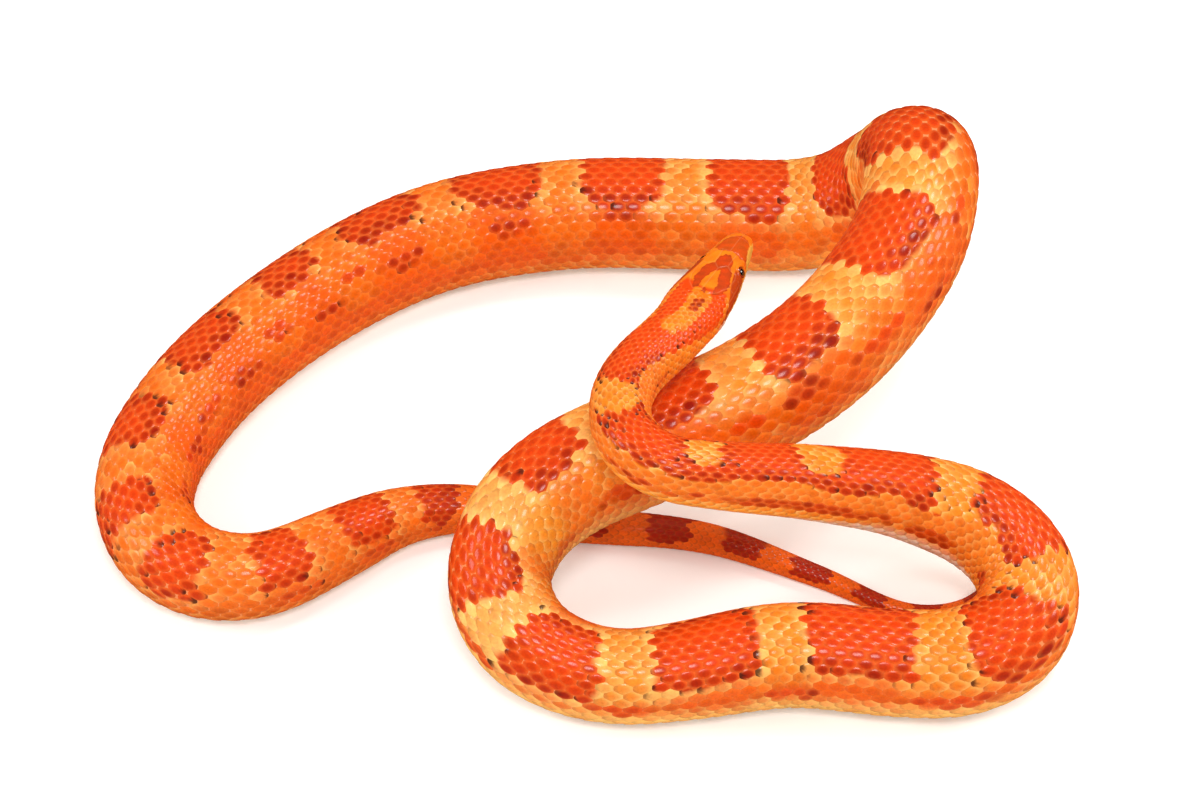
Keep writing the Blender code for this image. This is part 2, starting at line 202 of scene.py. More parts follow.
@dataclass
class BodyShape:
    """Spine, sections and outer surface of the snake, in mm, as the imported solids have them."""

    around: int = 256
    fine_until: float = 40.0
    fine_step: float = 0.1
    stations: np.ndarray = field(init=False)
    points: np.ndarray = field(init=False)
    normals: np.ndarray = field(init=False)

    def __post_init__(self) -> None:
        """Lay the spine, then its sections."""
        line = self.averaged(self.hermite(np.array(BELLY_LINE)))
        line[:, :2] -= MIDDLE
        self.line, self.distance = self.resampled(line)
        self.length = float(self.distance[-1])
        self.lay_sections()

    @staticmethod
    def resampled(points: np.ndarray) -> tuple[np.ndarray, np.ndarray]:
        """Points at equal distances along a polyline.

        Args:
            points: The polyline.

        Returns:
            The points and their distances.
        """
        chords = np.linalg.norm(np.diff(points, axis=0), axis=1)
        travelled = np.concatenate([[0.0], np.cumsum(chords)])
        distance = np.linspace(0.0, travelled[-1], round(travelled[-1] / SPINE_STEP) + 1)
        columns = [np.interp(distance, travelled, points[:, axis]) for axis in range(3)]
        return np.stack(columns, axis=1), distance

    def hermite(self, points: np.ndarray, parts: int = 24) -> np.ndarray:
        """A smooth curve through the waypoints, with slopes taken over uneven chords.

        Args:
            points: The waypoints.
            parts: Steps between two waypoints.

        Returns:
            Points at equal distances, not below the floor.
        """
        chords = np.linalg.norm(np.diff(points, axis=0), axis=1)
        knots = np.concatenate([[0.0], np.cumsum(chords)])
        slopes = np.gradient(points, knots, axis=0)
        t = np.linspace(0.0, 1.0, parts, endpoint=False)[:, None]
        spans = []
        for index, span in enumerate(np.diff(knots)):
            spans.append(
                points[index] * (1 + 2 * t) * (1 - t) ** 2
                + slopes[index] * span * t * (1 - t) ** 2
                + points[index + 1] * t * t * (3 - 2 * t)
                + slopes[index + 1] * span * t * t * (t - 1)
            )
        line, _ = self.resampled(np.concatenate([*spans, points[-1:]]))
        line[:, 2] = np.maximum(line[:, 2], 0.0)
        return line

    @staticmethod
    def averaged(points: np.ndarray) -> np.ndarray:
        """The points under a Gaussian running average, with both ends kept.

        Args:
            points: Points at equal distances.

        Returns:
            The rounded line.
        """
        reach = int(4 * POSE_SMOOTHING / SPINE_STEP)
        weights = np.exp(-0.5 * (np.arange(-reach, reach + 1) * SPINE_STEP / POSE_SMOOTHING) ** 2)
        weights /= weights.sum()
        before = 2 * points[0] - points[reach:0:-1]
        after = 2 * points[-1] - points[-2:-reach - 2:-1]
        padded = np.vstack([before, points, after])
        line = np.stack([np.convolve(padded[:, axis], weights, mode="valid") for axis in range(3)], axis=1)
        line[:, 2] = np.where(line[:, 2] < 0.01, 0.0, line[:, 2])
        return line

    @staticmethod
    def table(rows: list[tuple[float, ...]], column: int, distance: np.ndarray) -> np.ndarray:
        """One column of a table of sizes, rounded between its rows without overshooting them.

        Args:
            rows: Distance from the snout, then sizes.
            column: Which size.
            distance: Where it is wanted.

        Returns:
            The size at each distance.
        """
        xs = np.array([row[0] for row in rows])
        ys = np.array([row[column] for row in rows])
        gaps = np.diff(xs)
        grades = np.diff(ys) / gaps
        slopes = np.concatenate([[grades[0]], np.zeros(len(xs) - 2), [grades[-1]]])
        for k in range(1, len(xs) - 1):
            if grades[k - 1] * grades[k] > 0:
                first = 2 * gaps[k] + gaps[k - 1]
                second = gaps[k] + 2 * gaps[k - 1]
                slopes[k] = (first + second) / (first / grades[k - 1] + second / grades[k])
        where = np.clip(np.searchsorted(xs, distance, side="right") - 1, 0, len(xs) - 2)
        t = np.clip((distance - xs[where]) / gaps[where], 0.0, 1.0)
        return (
            ys[where] * (1 + 2 * t) * (1 - t) ** 2
            + slopes[where] * gaps[where] * t * (1 - t) ** 2
            + ys[where + 1] * t * t * (3 - 2 * t)
            + slopes[where + 1] * gaps[where] * t * t * (t - 1)
        )

    def lay_sections(self) -> None:
        """Fill the grid of surface points and normals, even steps round each section."""
        near = np.arange(0.0, self.fine_until, self.fine_step)
        far = np.arange(self.fine_until, self.length, SPINE_STEP)
        self.stations = np.concatenate([near, far, [self.length]])
        tables = HEAD_SECTIONS + [(at, w, w * BACK_SHARE, w * BELLY_SHARE) for at, w in BODY_WIDTHS]
        width, rise, depth = (self.table(tables, column, self.stations) for column in (1, 2, 3))
        along = np.gradient(self.line, axis=0)
        along /= np.linalg.norm(along, axis=1)[:, None]
        raised = np.array([0.0, 0.0, 1.0]) - along * along[:, 2:3]

        def at_stations(rows: np.ndarray) -> np.ndarray:
            """The rows of a spine table at the sections' stations."""
            return np.stack([np.interp(self.stations, self.distance, rows[:, axis]) for axis in range(3)], axis=1)

        self.along = at_stations(along)
        self.along /= np.linalg.norm(self.along, axis=1)[:, None]
        self.up = at_stations(raised)
        self.up /= np.linalg.norm(self.up, axis=1)[:, None]
        self.side = np.cross(self.along, self.up)
        self.centre = at_stations(self.line)
        self.centre[:, 2] += FLAT_SHARE * depth
        self.width, self.rise, self.depth = width, rise, depth

        neck = np.clip((self.stations - NECK_START) / (NECK_END - NECK_START), 0.0, 1.0)
        back = HEAD_ROUNDNESS + (BACK_ROUNDNESS - HEAD_ROUNDNESS) * neck
        self.angles = np.linspace(-math.pi, math.pi, 1441)
        sine, cosine = np.sin(self.angles)[None, :], np.cos(self.angles)[None, :]
        power = np.where(cosine > 0, 2 / back[:, None], 2 / SIDE_ROUNDNESS)
        out = width[:, None] / 2 * np.sign(sine) * np.abs(sine) ** power
        reach = np.where(cosine > 0, rise[:, None], depth[:, None])
        height = np.maximum(reach * np.sign(cosine) * np.abs(cosine) ** power, -FLAT_SHARE * depth[:, None])
        steps = np.hypot(np.diff(out, axis=1), np.diff(height, axis=1))
        travelled = np.concatenate([np.zeros((len(out), 1)), np.cumsum(steps, axis=1)], axis=1)
        self.half_round = travelled[:, -1] / 2
        self.shares = travelled / self.half_round[:, None] - 1.0
        even = np.linspace(-1.0, 1.0, self.around + 1)
        flat = np.empty((len(out), self.around + 1, 2))
        for row in range(len(out)):
            flat[row, :, 0] = np.interp(even, self.shares[row], out[row])
            flat[row, :, 1] = np.interp(even, self.shares[row], height[row])
        self.flat = flat
        self.points = (
            self.centre[:, None, :]
            + self.side[:, None, :] * flat[:, :, 0:1]
            + self.up[:, None, :] * flat[:, :, 1:2]
        )
        lengthways = np.gradient(self.points, self.stations, axis=0)
        ring = self.points[:, :-1]
        across = np.roll(ring, -1, axis=1) - np.roll(ring, 1, axis=1)
        across = np.concatenate([across, across[:, :1]], axis=1)
        normals = np.cross(across, lengthways)
        normals /= np.maximum(np.linalg.norm(normals, axis=2), 1e-9)[:, :, None]
        outward = ((self.points - self.centre[:, None, :]) * normals).sum(axis=2).mean()
        self.normals = normals * math.copysign(1.0, outward)
        self.stretch = np.linalg.norm(lengthways, axis=2)

    def value(self, table: np.ndarray, at: np.ndarray) -> np.ndarray:
        """One of the tables at distances from the snout."""
        return np.interp(at, self.stations, table)

    def cell(self, at: np.ndarray, share: np.ndarray) -> tuple[np.ndarray, ...]:
        """Grid cell and weights of places on the surface.

        Args:
            at: Distances from the snout.
            share: Shares of the way round from the back, positive to the snake's left.

        Returns:
            Row, column, row weight and column weight.
        """
        row = np.interp(at, self.stations, np.arange(len(self.stations)))
        column = ((share + 1.0) / 2.0 % 1.0) * self.around
        i = np.minimum(row.astype(int), len(self.stations) - 2)
        j = np.minimum(column.astype(int), self.around - 1)
        return i, j, (row - i)[:, None], (column - j)[:, None]

    def read(self, grid: np.ndarray, at: np.ndarray, share: np.ndarray) -> np.ndarray:
        """Values of a grid at places on the surface.

        Args:
            grid: Rows of stations by columns round, with any last axis.
            at: Distances from the snout.
            share: Shares of the way round.

        Returns:
            One row for each place.
        """
        values = grid if grid.ndim == 3 else grid[:, :, None]
        i, j, u, v = self.cell(at, share)
        first = values[i, j] * (1 - v) + values[i, j + 1] * v
        second = values[i + 1, j] * (1 - v) + values[i + 1, j + 1] * v
        return first * (1 - u) + second * u

    def wrap(self, at: np.ndarray, share: np.ndarray, lift: np.ndarray) -> np.ndarray:
        """Points on or near the outer surface.

        Args:
            at: Distances from the snout.
            share: Shares of the way round.
            lift: Heights above the surface.

        Returns:
            Points in mm.
        """
        normal = self.read(self.normals, at, share)
        normal /= np.linalg.norm(normal, axis=1)[:, None]
        return self.read(self.points, at, share) + normal * lift[:, None]

    def share_at_angle(self, at: float, angle: float) -> float:
        """The share of the way round where a section has this angle from the middle of the back."""
        row = int(np.argmin(np.abs(self.stations - at)))
        return float(np.interp(angle, self.angles, self.shares[row]))

    def share_at_out(self, at: float, out: float) -> float:
        """The share of the way round, on the back, that lies this far out to the side."""
        half = float(self.value(self.width, at)) / 2
        sine = min(abs(out) / half, 0.999) ** (HEAD_ROUNDNESS / 2)
        return self.share_at_angle(at, math.copysign(math.asin(sine), out))

    def share_at_height(self, at: float, up: float, hand: int) -> float:
        """The share of the way round, on one side, that lies this far above the axis."""
        reach = float(self.value(self.rise if up > 0 else self.depth, at))
        power = HEAD_ROUNDNESS / 2 if up > 0 else SIDE_ROUNDNESS / 2
        cosine = math.copysign(min(abs(up) / reach, 0.999) ** power, up)
        return self.share_at_angle(at, hand * math.acos(cosine))

    def point(self, at: float, out: float, up: float) -> np.ndarray:
        """A point in a section's own axes, in mm."""
        centre, side, lifted = (
            np.array([np.interp(at, self.stations, grid[:, axis]) for axis in range(3)])
            for grid in (self.centre, self.side, self.up)
        )
        return centre + side * out + lifted * up


class Zone(Enum):
    """Which colours a place on the snake takes."""

    COAT = "scales, plates and scutes"
    SKIN = "thin skin that shows between scales"


@dataclass(frozen=True)
class Palette:
    """Colours of the snake, as sRGB hex values of its scales in even light; the colours for the head's seams, the
    scales' free ends and the nostrils are painted light and shade, and those for the rims and bright flanks partly so.
    """

    saddle: str = "#E44203"
    saddle_deep: str = "#A81E02"
    gap_front: str = "#EC7C18"
    gap_rear: str = "#EC6812"
    gap_pale: str = "#FAC26C"
    flank: str = "#E86408"
    flank_low: str = "#F29038"
    # Brighter flank: partly the flank's own colour, partly painted light on flanks that lie in shade.
    flank_bright: str = "#F89824"
    flank_rear: str = "#DC5A08"
    tail_saddle: str = "#A82206"
    tail_gap: str = "#E8600E"
    belly: str = "#EFD9C2"
    belly_check: str = "#E89460"
    speck: str = "#38140E"
    # Painted shadow where a scale's free end steps down onto the next.
    free_end_shade: str = "#A04430"
    bare_skin: str = "#EC9860"
    # Pale rims between scales: partly the skin's own colour, partly painted highlight on the scales' edges.
    rim_orange: str = "#FCC660"
    rim_red: str = "#F4762C"
    lip: str = "#E0A640"
    head_orange: str = "#EE7C10"
    head_red: str = "#B43C0C"
    head_edge: str = "#7A1C08"
    # Painted highlight along the seams between the head's plates.
    seam: str = "#F9B878"
    # Painted shade in the nostrils, the eye sockets and along the mouth.
    nostril: str = "#3A100A"


@dataclass
class Markings:
    """Saddles, gaps, flank blotches and head pattern, as one rule for skin and coat alike."""

    body: BodyShape
    palette: Palette = Palette()
    saddle_reach: float = 57.0      # half width of a saddle, in degrees round from its middle
    seed: int = 5

    # Orange gaps between the red saddles: start and end from the snout in mm, then half width in degrees.
    GAPS = [
        (70.5, 80.5, 44), (100.5, 110.5, 33), (132.5, 145.5, 38), (174.0, 187.5, 62), (212.5, 223.0, 64),
        (244.5, 260.0, 120), (289.0, 302.5, 120), (330.5, 345.0, 120), (367.0, 377.0, 120),
        (395.5, 405.0, 120), (424.5, 434.0, 120), (465.0, 479.0, 120), (503.0, 518.0, 120),
        (549.0, 562.0, 120), (588.0, 600.0, 120), (626.0, 638.5, 120), (664.0, 676.5, 120),
        (702.0, 714.0, 120), (740.0, 751.5, 120), (776.0, 787.5, 120), (805.5, 818.0, 120),
        (841.0, 853.0, 120), (870.5, 881.0, 120), (893.0, 901.0, 120), (914.0, 926.0, 120),
        (940.0, 951.5, 120), (967.5, 976.0, 120), (987.0, 993.5, 120), (1007.0, 1016.0, 120),
        (1030.0, 1041.0, 120), (1054.0, 1063.5, 120), (1074.5, 1084.0, 120), (1095.0, 1103.0, 120),
        (1112.0, 1119.0, 120), (1128.0, 1134.0, 120), (1142.0, 1147.0, 120),
    ]
    # How far the middle of the pattern is rolled from straight up, in degrees to the snake's left.
    ROLL = [
        (0, -5), (45, 4), (55, 7), (62, 11), (67, 16), (76, 9), (90, -6), (115, -8), (170, -6), (200, -30), (222, -18), (245, -10),
        (270, 0), (310, 0), (350, -26), (425, -34), (462, -26), (481, -19), (495, -25), (518, -25), (530, -30),
        (560, -33), (620, 0), (700, 20), (750, 40),
        (900, 43), (930, 12), (985, 5), (1030, 0), (1160, 0),
    ]
    # Red blotches low on the flanks: middle in mm, angle in degrees, half length in mm, half width in degrees.
    BLOTCHES = [
        (60, 84, 10, 7), (92, 86, 8, 7), (132, 87, 32, 8), (176, 88, 10, 8), (214, 78, 8, 9), (252, -84, 10, 9),
        (294, -84, 11, 9), (338, -84, 9, 10), (372, -86, 8, 9), (401, -88, 8, 9), (430, 74, 7, 10),
        (452, 70, 7, 9), (471, 56, 5, 7), (485, 54, 6, 8), (507, 58, 8, 9), (529, 76, 6, 8), (550, 50, 5, 7),
        (572, 70, 6, 9),
        (781, -38, 4, 7), (812, -42, 6, 10), (829, -58, 6, 10), (848, -52, 5, 9), (862, -64, 6, 8),
        (690, -46, 6, 10), (726, -50, 6, 10), (764, -48, 6, 10), (794, -60, 5, 9),
        (886, -60, 5, 7), (908, -72, 6, 8), (934, -80, 6, 8), (960, -78, 5, 9), (981, -80, 4, 9),
    ]

    def colour(self, name: str) -> np.ndarray:
        """One of the palette's colours, linear."""
        return np.array([linear(getattr(self.palette, name))])

    def read(
        self, at: np.ndarray, share: np.ndarray, zone: Zone, owner: np.ndarray | None = None
    ) -> tuple[np.ndarray, np.ndarray]:
        """Colours of places on the snake.

        Args:
            at: Distances from the snout, in mm.
            share: Shares of the way round, positive to the snake's left.
            zone: Scales or the skin between them.
            owner: Which scale each place is in; one scale varies as a whole.

        Returns:
            One linear colour for each place, and how much of a dark speck it has.
        """
        draw = np.random.default_rng(self.seed + (zone is Zone.SKIN))
        owner = np.arange(len(at)) if owner is None else owner
        jitter = draw.uniform(-1, 1, (3, int(owner.max()) + 1))[:, owner]
        chance = draw.uniform(0, 1, int(owner.max()) + 1)[owner]
        if zone is Zone.SKIN:
            jitter *= 0.3
        turn = np.degrees(math.pi * share)
        roll = np.interp(at, *zip(*self.ROLL))
        angle = (turn - roll + 180) % 360 - 180
        steep = np.abs(angle) + 2.0 * jitter[0]
        wander = 0.9 * noise(self.seed + 1, at / 23, share * 2.2) + 0.35 * jitter[1]

        # How deep in a saddle, in mm from its edge; below 0 in a gap.
        depth = np.full(len(at), 40.0)
        for start, end, reach in self.GAPS:
            half = (end - start) / 2
            narrow = 1 - np.minimum(np.abs(angle) / reach, 1.0) ** 4
            inside = half * np.sqrt(narrow) - np.abs(at - (start + end) / 2)
            inside = np.where(np.abs(angle) < reach, inside, -20.0)
            depth = np.minimum(depth, -(inside + wander))
        tail = smoothstep(968, 996, at)
        reach = self.saddle_reach + 5 * noise(self.seed + 2, at / 41) - 10 * np.exp(-((at - 66) / 12) ** 2)
        reach = reach + 24 * tail
        corner = np.clip(depth / 7.5, 0.0, 1.0)
        saddle = smoothstep(-0.4, 0.4, depth) * smoothstep(0.9, -0.9, steep - reach + 15 * (1 - corner) ** 2)

        rear = smoothstep(600, 760, at)
        gap = mix(self.colour("gap_front"), self.colour("gap_rear"), rear)
        pale = smoothstep(270, 340, at) * (1 - rear) * 0.14 + 0.34 * np.exp(-((at - 385) / 30) ** 2)
        pale = pale + smoothstep(200, 300, at) * (1 - 0.7 * rear) * 0.62 * smoothstep(-2.8, 0.0, depth)
        gap = mix(gap, self.colour("gap_pale"), pale + 0.12 * jitter[1])
        low = smoothstep(75, 122, np.abs(turn)) + 0.25 * noise(self.seed + 8, at / 17, turn / 34) + 0.15 * jitter[2]
        flank = mix(self.colour("flank"), self.colour("flank_low"), low - 0.25 * rear)
        # Brighter flanks: along the neck partly a yellower own colour and partly painted light, on the inner side of
        # the left bend painted light where the body lies in its own shade, and near 208 mm the flank's own golden
        # colour.
        bright = 0.40 * smoothstep(250, 180, at) + 0.55 * np.exp(-((at - 400) / 28) ** 2) * (turn > 0)
        bright = bright + 0.4 * np.exp(-((at - 208) / 16) ** 2) * (turn > 0)
        flank = mix(flank, self.colour("flank_bright"), 1.3 * bright * smoothstep(130, 110, np.abs(turn)))
        golden = smoothstep(215, 260, at) * smoothstep(460, 410, at) * smoothstep(80, 112, np.abs(turn))
        flank = mix(flank, self.colour("gap_pale"), golden * (0.62 + 0.25 * jitter[1]))
        flank = mix(flank, self.colour("flank_rear"), 0.75 * rear * smoothstep(40, 95, np.abs(turn)))
        back = mix(gap, flank, smoothstep(40, 75, steep))
        under_saddle = smoothstep(0, 7, depth) * smoothstep(-2, 6, steep - reach) * smoothstep(115, 90, np.abs(turn))
        back = mix(back, self.colour("saddle"), 0.44 * under_saddle)
        deep = 0.75 + 0.25 * np.exp(-((at - 500) / 60) ** 2)
        deep = deep * smoothstep(reach - 30, reach - 8, steep) * smoothstep(0.5, 3.0, depth)
        loop = smoothstep(690, 745, at) * (1 - smoothstep(815, 900, at))
        deep = np.maximum(deep, (0.40 + 0.3 * loop) * np.exp(-((depth - 1.5) / 1.9) ** 2))
        deep = deep * (0.65 + 0.35 * noise(self.seed + 3, at / 9, share * 3)) + 0.10 + 0.14 * loop
        deep = deep + 0.10 * jitter[2]
        red = mix(self.colour("saddle"), self.colour("saddle_deep"), deep)
        red = mix(red, self.colour("tail_saddle"), tail)
        back = mix(back, self.colour("tail_gap"), tail)

        blotch = np.zeros(len(at))
        for middle, where, length, spread in self.BLOTCHES:
            for hand in (1, -1):
                far = np.hypot((at - middle) / length, (turn - hand * where) / spread)
                weight = 1.0 if hand > 0 else 0.55
                blotch = np.maximum(blotch, weight * smoothstep(1.25, 0.75, far + 0.3 * jitter[0]))
        back = mix(back, red, 0.85 * blotch)
        result = mix(back, red, saddle)

        # Dark specks at the corners and along the edges of the saddles and blotches.
        edge = np.exp(-((depth - 0.8) / 2.0) ** 2) * smoothstep(-10, 30, np.abs(angle) - 5)
        edge = np.maximum(edge, 0.7 * np.exp(-((steep - reach + 4) / 7) ** 2) * smoothstep(0.0, 2.0, depth))
        edge = edge * smoothstep(6, 0, steep - reach) * smoothstep(-1.6, 0.0, depth)
        edge = np.maximum(edge, (0.45 + 0.3 * rear) * np.exp(-((blotch - 0.6) / 0.25) ** 2))
        plain = smoothstep(350, 400, at) * (1 - smoothstep(640, 700, at))
        corners = np.exp(-((depth - 1.2) / 2.6) ** 2) * smoothstep(10, 26, steep) * smoothstep(66, 54, steep)
        odds = chance - 0.16 * plain + 0.25 * rear * (blotch > 0.3) + (0.48 - 0.2 * plain) * corners
        smudged = smoothstep(360, 310, at)
        edge = np.maximum(edge, corners * smudged)
        odds = odds + (0.08 + 0.38 * noise(self.seed + 7, at / 7, turn / 26)) * smudged * (corners > 0.3)
        odds = odds + 0.22 * smoothstep(150, 120, at)
        specks = edge * smoothstep(0.62, 0.80, odds) * smoothstep(130, 115, np.abs(turn))
        specks = specks * smoothstep(30, 50, at) * (1 - tail) * (1 - 0.45 * plain * (1 - corners))

        rolled = 24 * np.exp(-((at - 176) / 34) ** 4) * (turn > 0)      # the belly shows on the left here
        belly = smoothstep(122, 136, np.abs(turn) + rolled)
        check = smoothstep(0.1, 0.5, noise(self.seed + 4, at / 13, turn / 60)) * smoothstep(178, 150, np.abs(turn))
        under = mix(self.colour("belly"), self.colour("belly_check"), 0.35 * check + 0.1 * jitter[0])
        under = mix(under, self.colour("tail_gap"), 0.6 * tail)
        result = mix(result, under, belly)
        result = self.over_head(result, at, share, jitter)
        result = result * (1 + 0.10 * jitter[2])[:, None]
        if zone is Zone.SKIN:
            result = mix(result, self.colour("bare_skin"), 0.72 * smoothstep(31, 35, at) * (1 - 0.7 * tail))
        return np.clip(result, 0.0, 1.0), specks

    # Head patches as outlines in mm: along from the snout, out to the left of the head's own middle.
    HEAD_PATCHES = {
        "snout": [(3.2, -0.2), (4.2, -2.4), (6.6, -3.8), (11.4, -5.2), (12.8, -3.4), (11.4, -0.6), (12.6, 3.0),
                  (11.4, 4.6), (7.2, 3.6), (4.4, 2.0)],
        "crown": [(17.6, 1.8), (15.1, 1.4), (13.6, 0.5), (13.2, -0.5), (13.6, -1.4), (15.2, -2.4), (18.0, -3.3),
                  (20.6, -4.4), (23.2, -5.2), (25.4, -5.6), (27.6, -5.3), (29.2, -4.4), (29.7, -3.2), (28.2, -2.8),
                  (25.7, -2.7), (24.1, -2.0), (22.2, -1.5), (20.2, -0.9), (21.0, 0.2), (22.3, 0.9), (24.3, 1.2),
                  (25.8, 1.8), (27.5, 1.4), (29.4, 1.6), (29.8, 2.6), (28.3, 3.4), (25.7, 4.2), (23.2, 4.0),
                  (21.4, 4.1), (19.6, 3.3), (18.6, 2.4)],
        "spot": [(28.4, -0.6), (29.4, -1.4), (30.6, -1.2), (30.2, -0.3), (29.0, -0.2)],
        "nape": [(31.9, -2.0), (34.0, -0.9), (37.3, -0.8), (39.2, -1.5), (38.9, -2.4), (37.0, -3.0), (33.5, -2.8)],
    }
    NAPE_ORANGE = [(29.5, -1.9), (31.2, -4.2), (34.4, -4.3), (39.0, -4.3), (42.3, -4.5), (45.6, -4.4), (48.0, -2.8),
                   (48.9, -1.0), (48.0, 0.9), (46.4, 1.7), (42.7, 1.3), (38.3, 1.1), (33.7, 1.8), (31.4, 2.1),
                   (29.5, 1.7)]
    # Orange lines from behind the eyes, past the temples and down to the flanks: along from the snout, and angle.
    LEFT_LINE = [(16.0, 38), (20.5, 39), (24.6, 42), (27.4, 46), (30.0, 50), (33.5, 55), (37.0, 53), (41.0, 50),
                 (45.0, 46), (50.0, 52), (55.0, 60)]
    RIGHT_LINE = [(16.0, 38), (20.5, 42), (24.6, 51), (27.4, 62), (30.0, 73), (33.0, 84), (37.0, 89), (41.0, 82),
                  (45.0, 71), (50.0, 60), (55.0, 52)]
    # Top of the pale lip: along from the snout, and up from the axis.
    LIP_TOP = [(0.0, -0.2), (3.0, 1.2), (6.0, 2.8), (10.5, 2.7), (13.0, 0.8), (17.0, -0.2), (24.0, -0.4), (29.0, -0.2)]

    @staticmethod
    def depth_in(outline: list[tuple[float, float]], at: np.ndarray, out: np.ndarray) -> np.ndarray:
        """How far inside an outline places lie.

        Args:
            outline: Corners in order.
            at: First coordinates.
            out: Second coordinates.

        Returns:
            Distances to the outline, above 0 inside.
        """
        corners = np.array(outline)
        inside = np.zeros(len(at), bool)
        nearest = np.full(len(at), 1e9)
        for first, second in zip(corners, np.roll(corners, -1, axis=0)):
            run = second - first
            t = np.clip(((at - first[0]) * run[0] + (out - first[1]) * run[1]) / (run @ run), 0, 1)
            nearest = np.minimum(nearest, np.hypot(at - first[0] - t * run[0], out - first[1] - t * run[1]))
            crosses = (first[1] > out) != (second[1] > out)
            slant = first[0] + (out - first[1]) * run[0] / (run[1] if abs(run[1]) > 1e-9 else 1e-9)
            inside ^= crosses & (at < slant)
        return np.where(inside, nearest, -nearest)

    def over_head(self, under: np.ndarray, at: np.ndarray, share: np.ndarray, jitter: np.ndarray) -> np.ndarray:
        """The head's own pattern laid over the rest.

        Args:
            under: Colours so far.
            at: Distances from the snout.
            share: Shares of the way round.
            jitter: Three rows of variation.

        Returns:
            Colours with the head's pattern.
        """
        near = np.flatnonzero(at < 60.0)
        if not len(near):
            return under
        s, v, wobble = at[near], share[near], jitter[:, near]
        flat = self.body.read(self.body.flat, s, v)
        out = flat[:, 0] + 0.6 * smoothstep(60, 20, s)
        up = flat[:, 1]
        turn = np.degrees(math.pi * v)
        orange, red = self.colour("head_orange"), self.colour("head_red")
        colour = np.repeat(orange, len(s), axis=0)
        ragged = 0.22 * noise(self.seed + 6, s / 2.3, out / 2.3)
        colour = mix(colour, np.repeat(self.colour("saddle"), len(s), axis=0),
                     np.clip(0.14 + 0.22 * noise(self.seed + 9, s / 5, out / 4), 0, 1))

        # Red from the temples back, inside an orange line that runs from each eye to the flank.
        line_at = np.where(turn > 0, np.interp(s, *zip(*self.LEFT_LINE)), np.interp(s, *zip(*self.RIGHT_LINE)))
        behind = smoothstep(28.0, 29.5, s + 0.32 * np.abs(out))
        inside = smoothstep(2.0, -2.0, np.abs(turn) - line_at + 5.5 + 1.5 * wobble[0])
        nape_orange = smoothstep(-0.2, 0.2, self.depth_in(self.NAPE_ORANGE, s, out) + ragged + 0.12 * wobble[0])
        colour = mix(colour, np.repeat(self.colour("saddle"), len(s), axis=0), behind * inside * (1 - nape_orange))
        edging = np.zeros(len(s))
        for name, outline in self.HEAD_PATCHES.items():
            strength = 0.85 if name == "snout" else 1.0
            depth = self.depth_in(outline, s, out) + ragged
            patch = strength * smoothstep(-0.12, 0.12, depth) * (up > 0)
            dark = mix(red, self.colour("saddle"), np.clip(0.25 + 0.25 * noise(self.seed + 7, s / 5, out / 5), 0, 1))
            colour = mix(colour, dark, patch)
            edging = np.maximum(edging, 0.32 * strength ** 2 * np.exp(-((depth - 0.12) / 0.16) ** 2) * (up > 0))
        colour = mix(colour, np.repeat(self.colour("head_edge"), len(s), axis=0), edging)

        # Side of the head: a red stripe from the eye to the corner of the jaw, pale lips, pale chin.
        line = np.interp(s, *zip(*MOUTH_LINE))
        below = smoothstep(-2.5, 2.5, np.abs(turn) - line_at - 5.5)
        stripe = smoothstep(16.5, 18.0, s) * below * smoothstep(36, 31, s)
        cheek = smoothstep(3.4, 2.6, up) * smoothstep(14.0, 12.0, s) * smoothstep(8.5, 10.5, s)
        colour = mix(colour, np.repeat(red, len(s), axis=0), np.maximum(stripe, 0.6 * cheek))
        top = np.interp(s, *zip(*self.LIP_TOP))
        lip = smoothstep(top + 0.25, top - 0.25, up + 0.8 * ragged) * smoothstep(31.5, 29.0, s)
        colour = mix(colour, np.repeat(self.colour("lip"), len(s), axis=0), lip)
        chin = smoothstep(line + 0.1, line - 0.3, up) * smoothstep(36, 30, s)
        throat = np.maximum(chin, smoothstep(118, 134, np.abs(turn)))
        colour = mix(colour, np.repeat(self.colour("belly"), len(s), axis=0), throat)
        result = under.copy()
        result[near] = mix(under[near], colour, smoothstep(60, 50, s + 3 * wobble[1]))
        return result


def add(tree: bpy.types.NodeTree, kind: str, settings: dict | None = None, links: dict | None = None) -> bpy.types.Node:
    """Add a node to a tree.

    Args:
        tree: The shader or geometry tree.
        kind: The node's type.
        settings: Values by input name or index, and properties of the node by name.
        links: Sockets that feed inputs, by input name or index.

    Returns:
        The node.
    """
    node = tree.nodes.new(kind)
    for key, value in (settings or {}).items():
        if isinstance(key, str) and hasattr(node, key):
            setattr(node, key, value)
        else:
            node.inputs[key].default_value = value
    for key, socket in (links or {}).items():
        tree.links.new(socket, node.inputs[key])
    return node


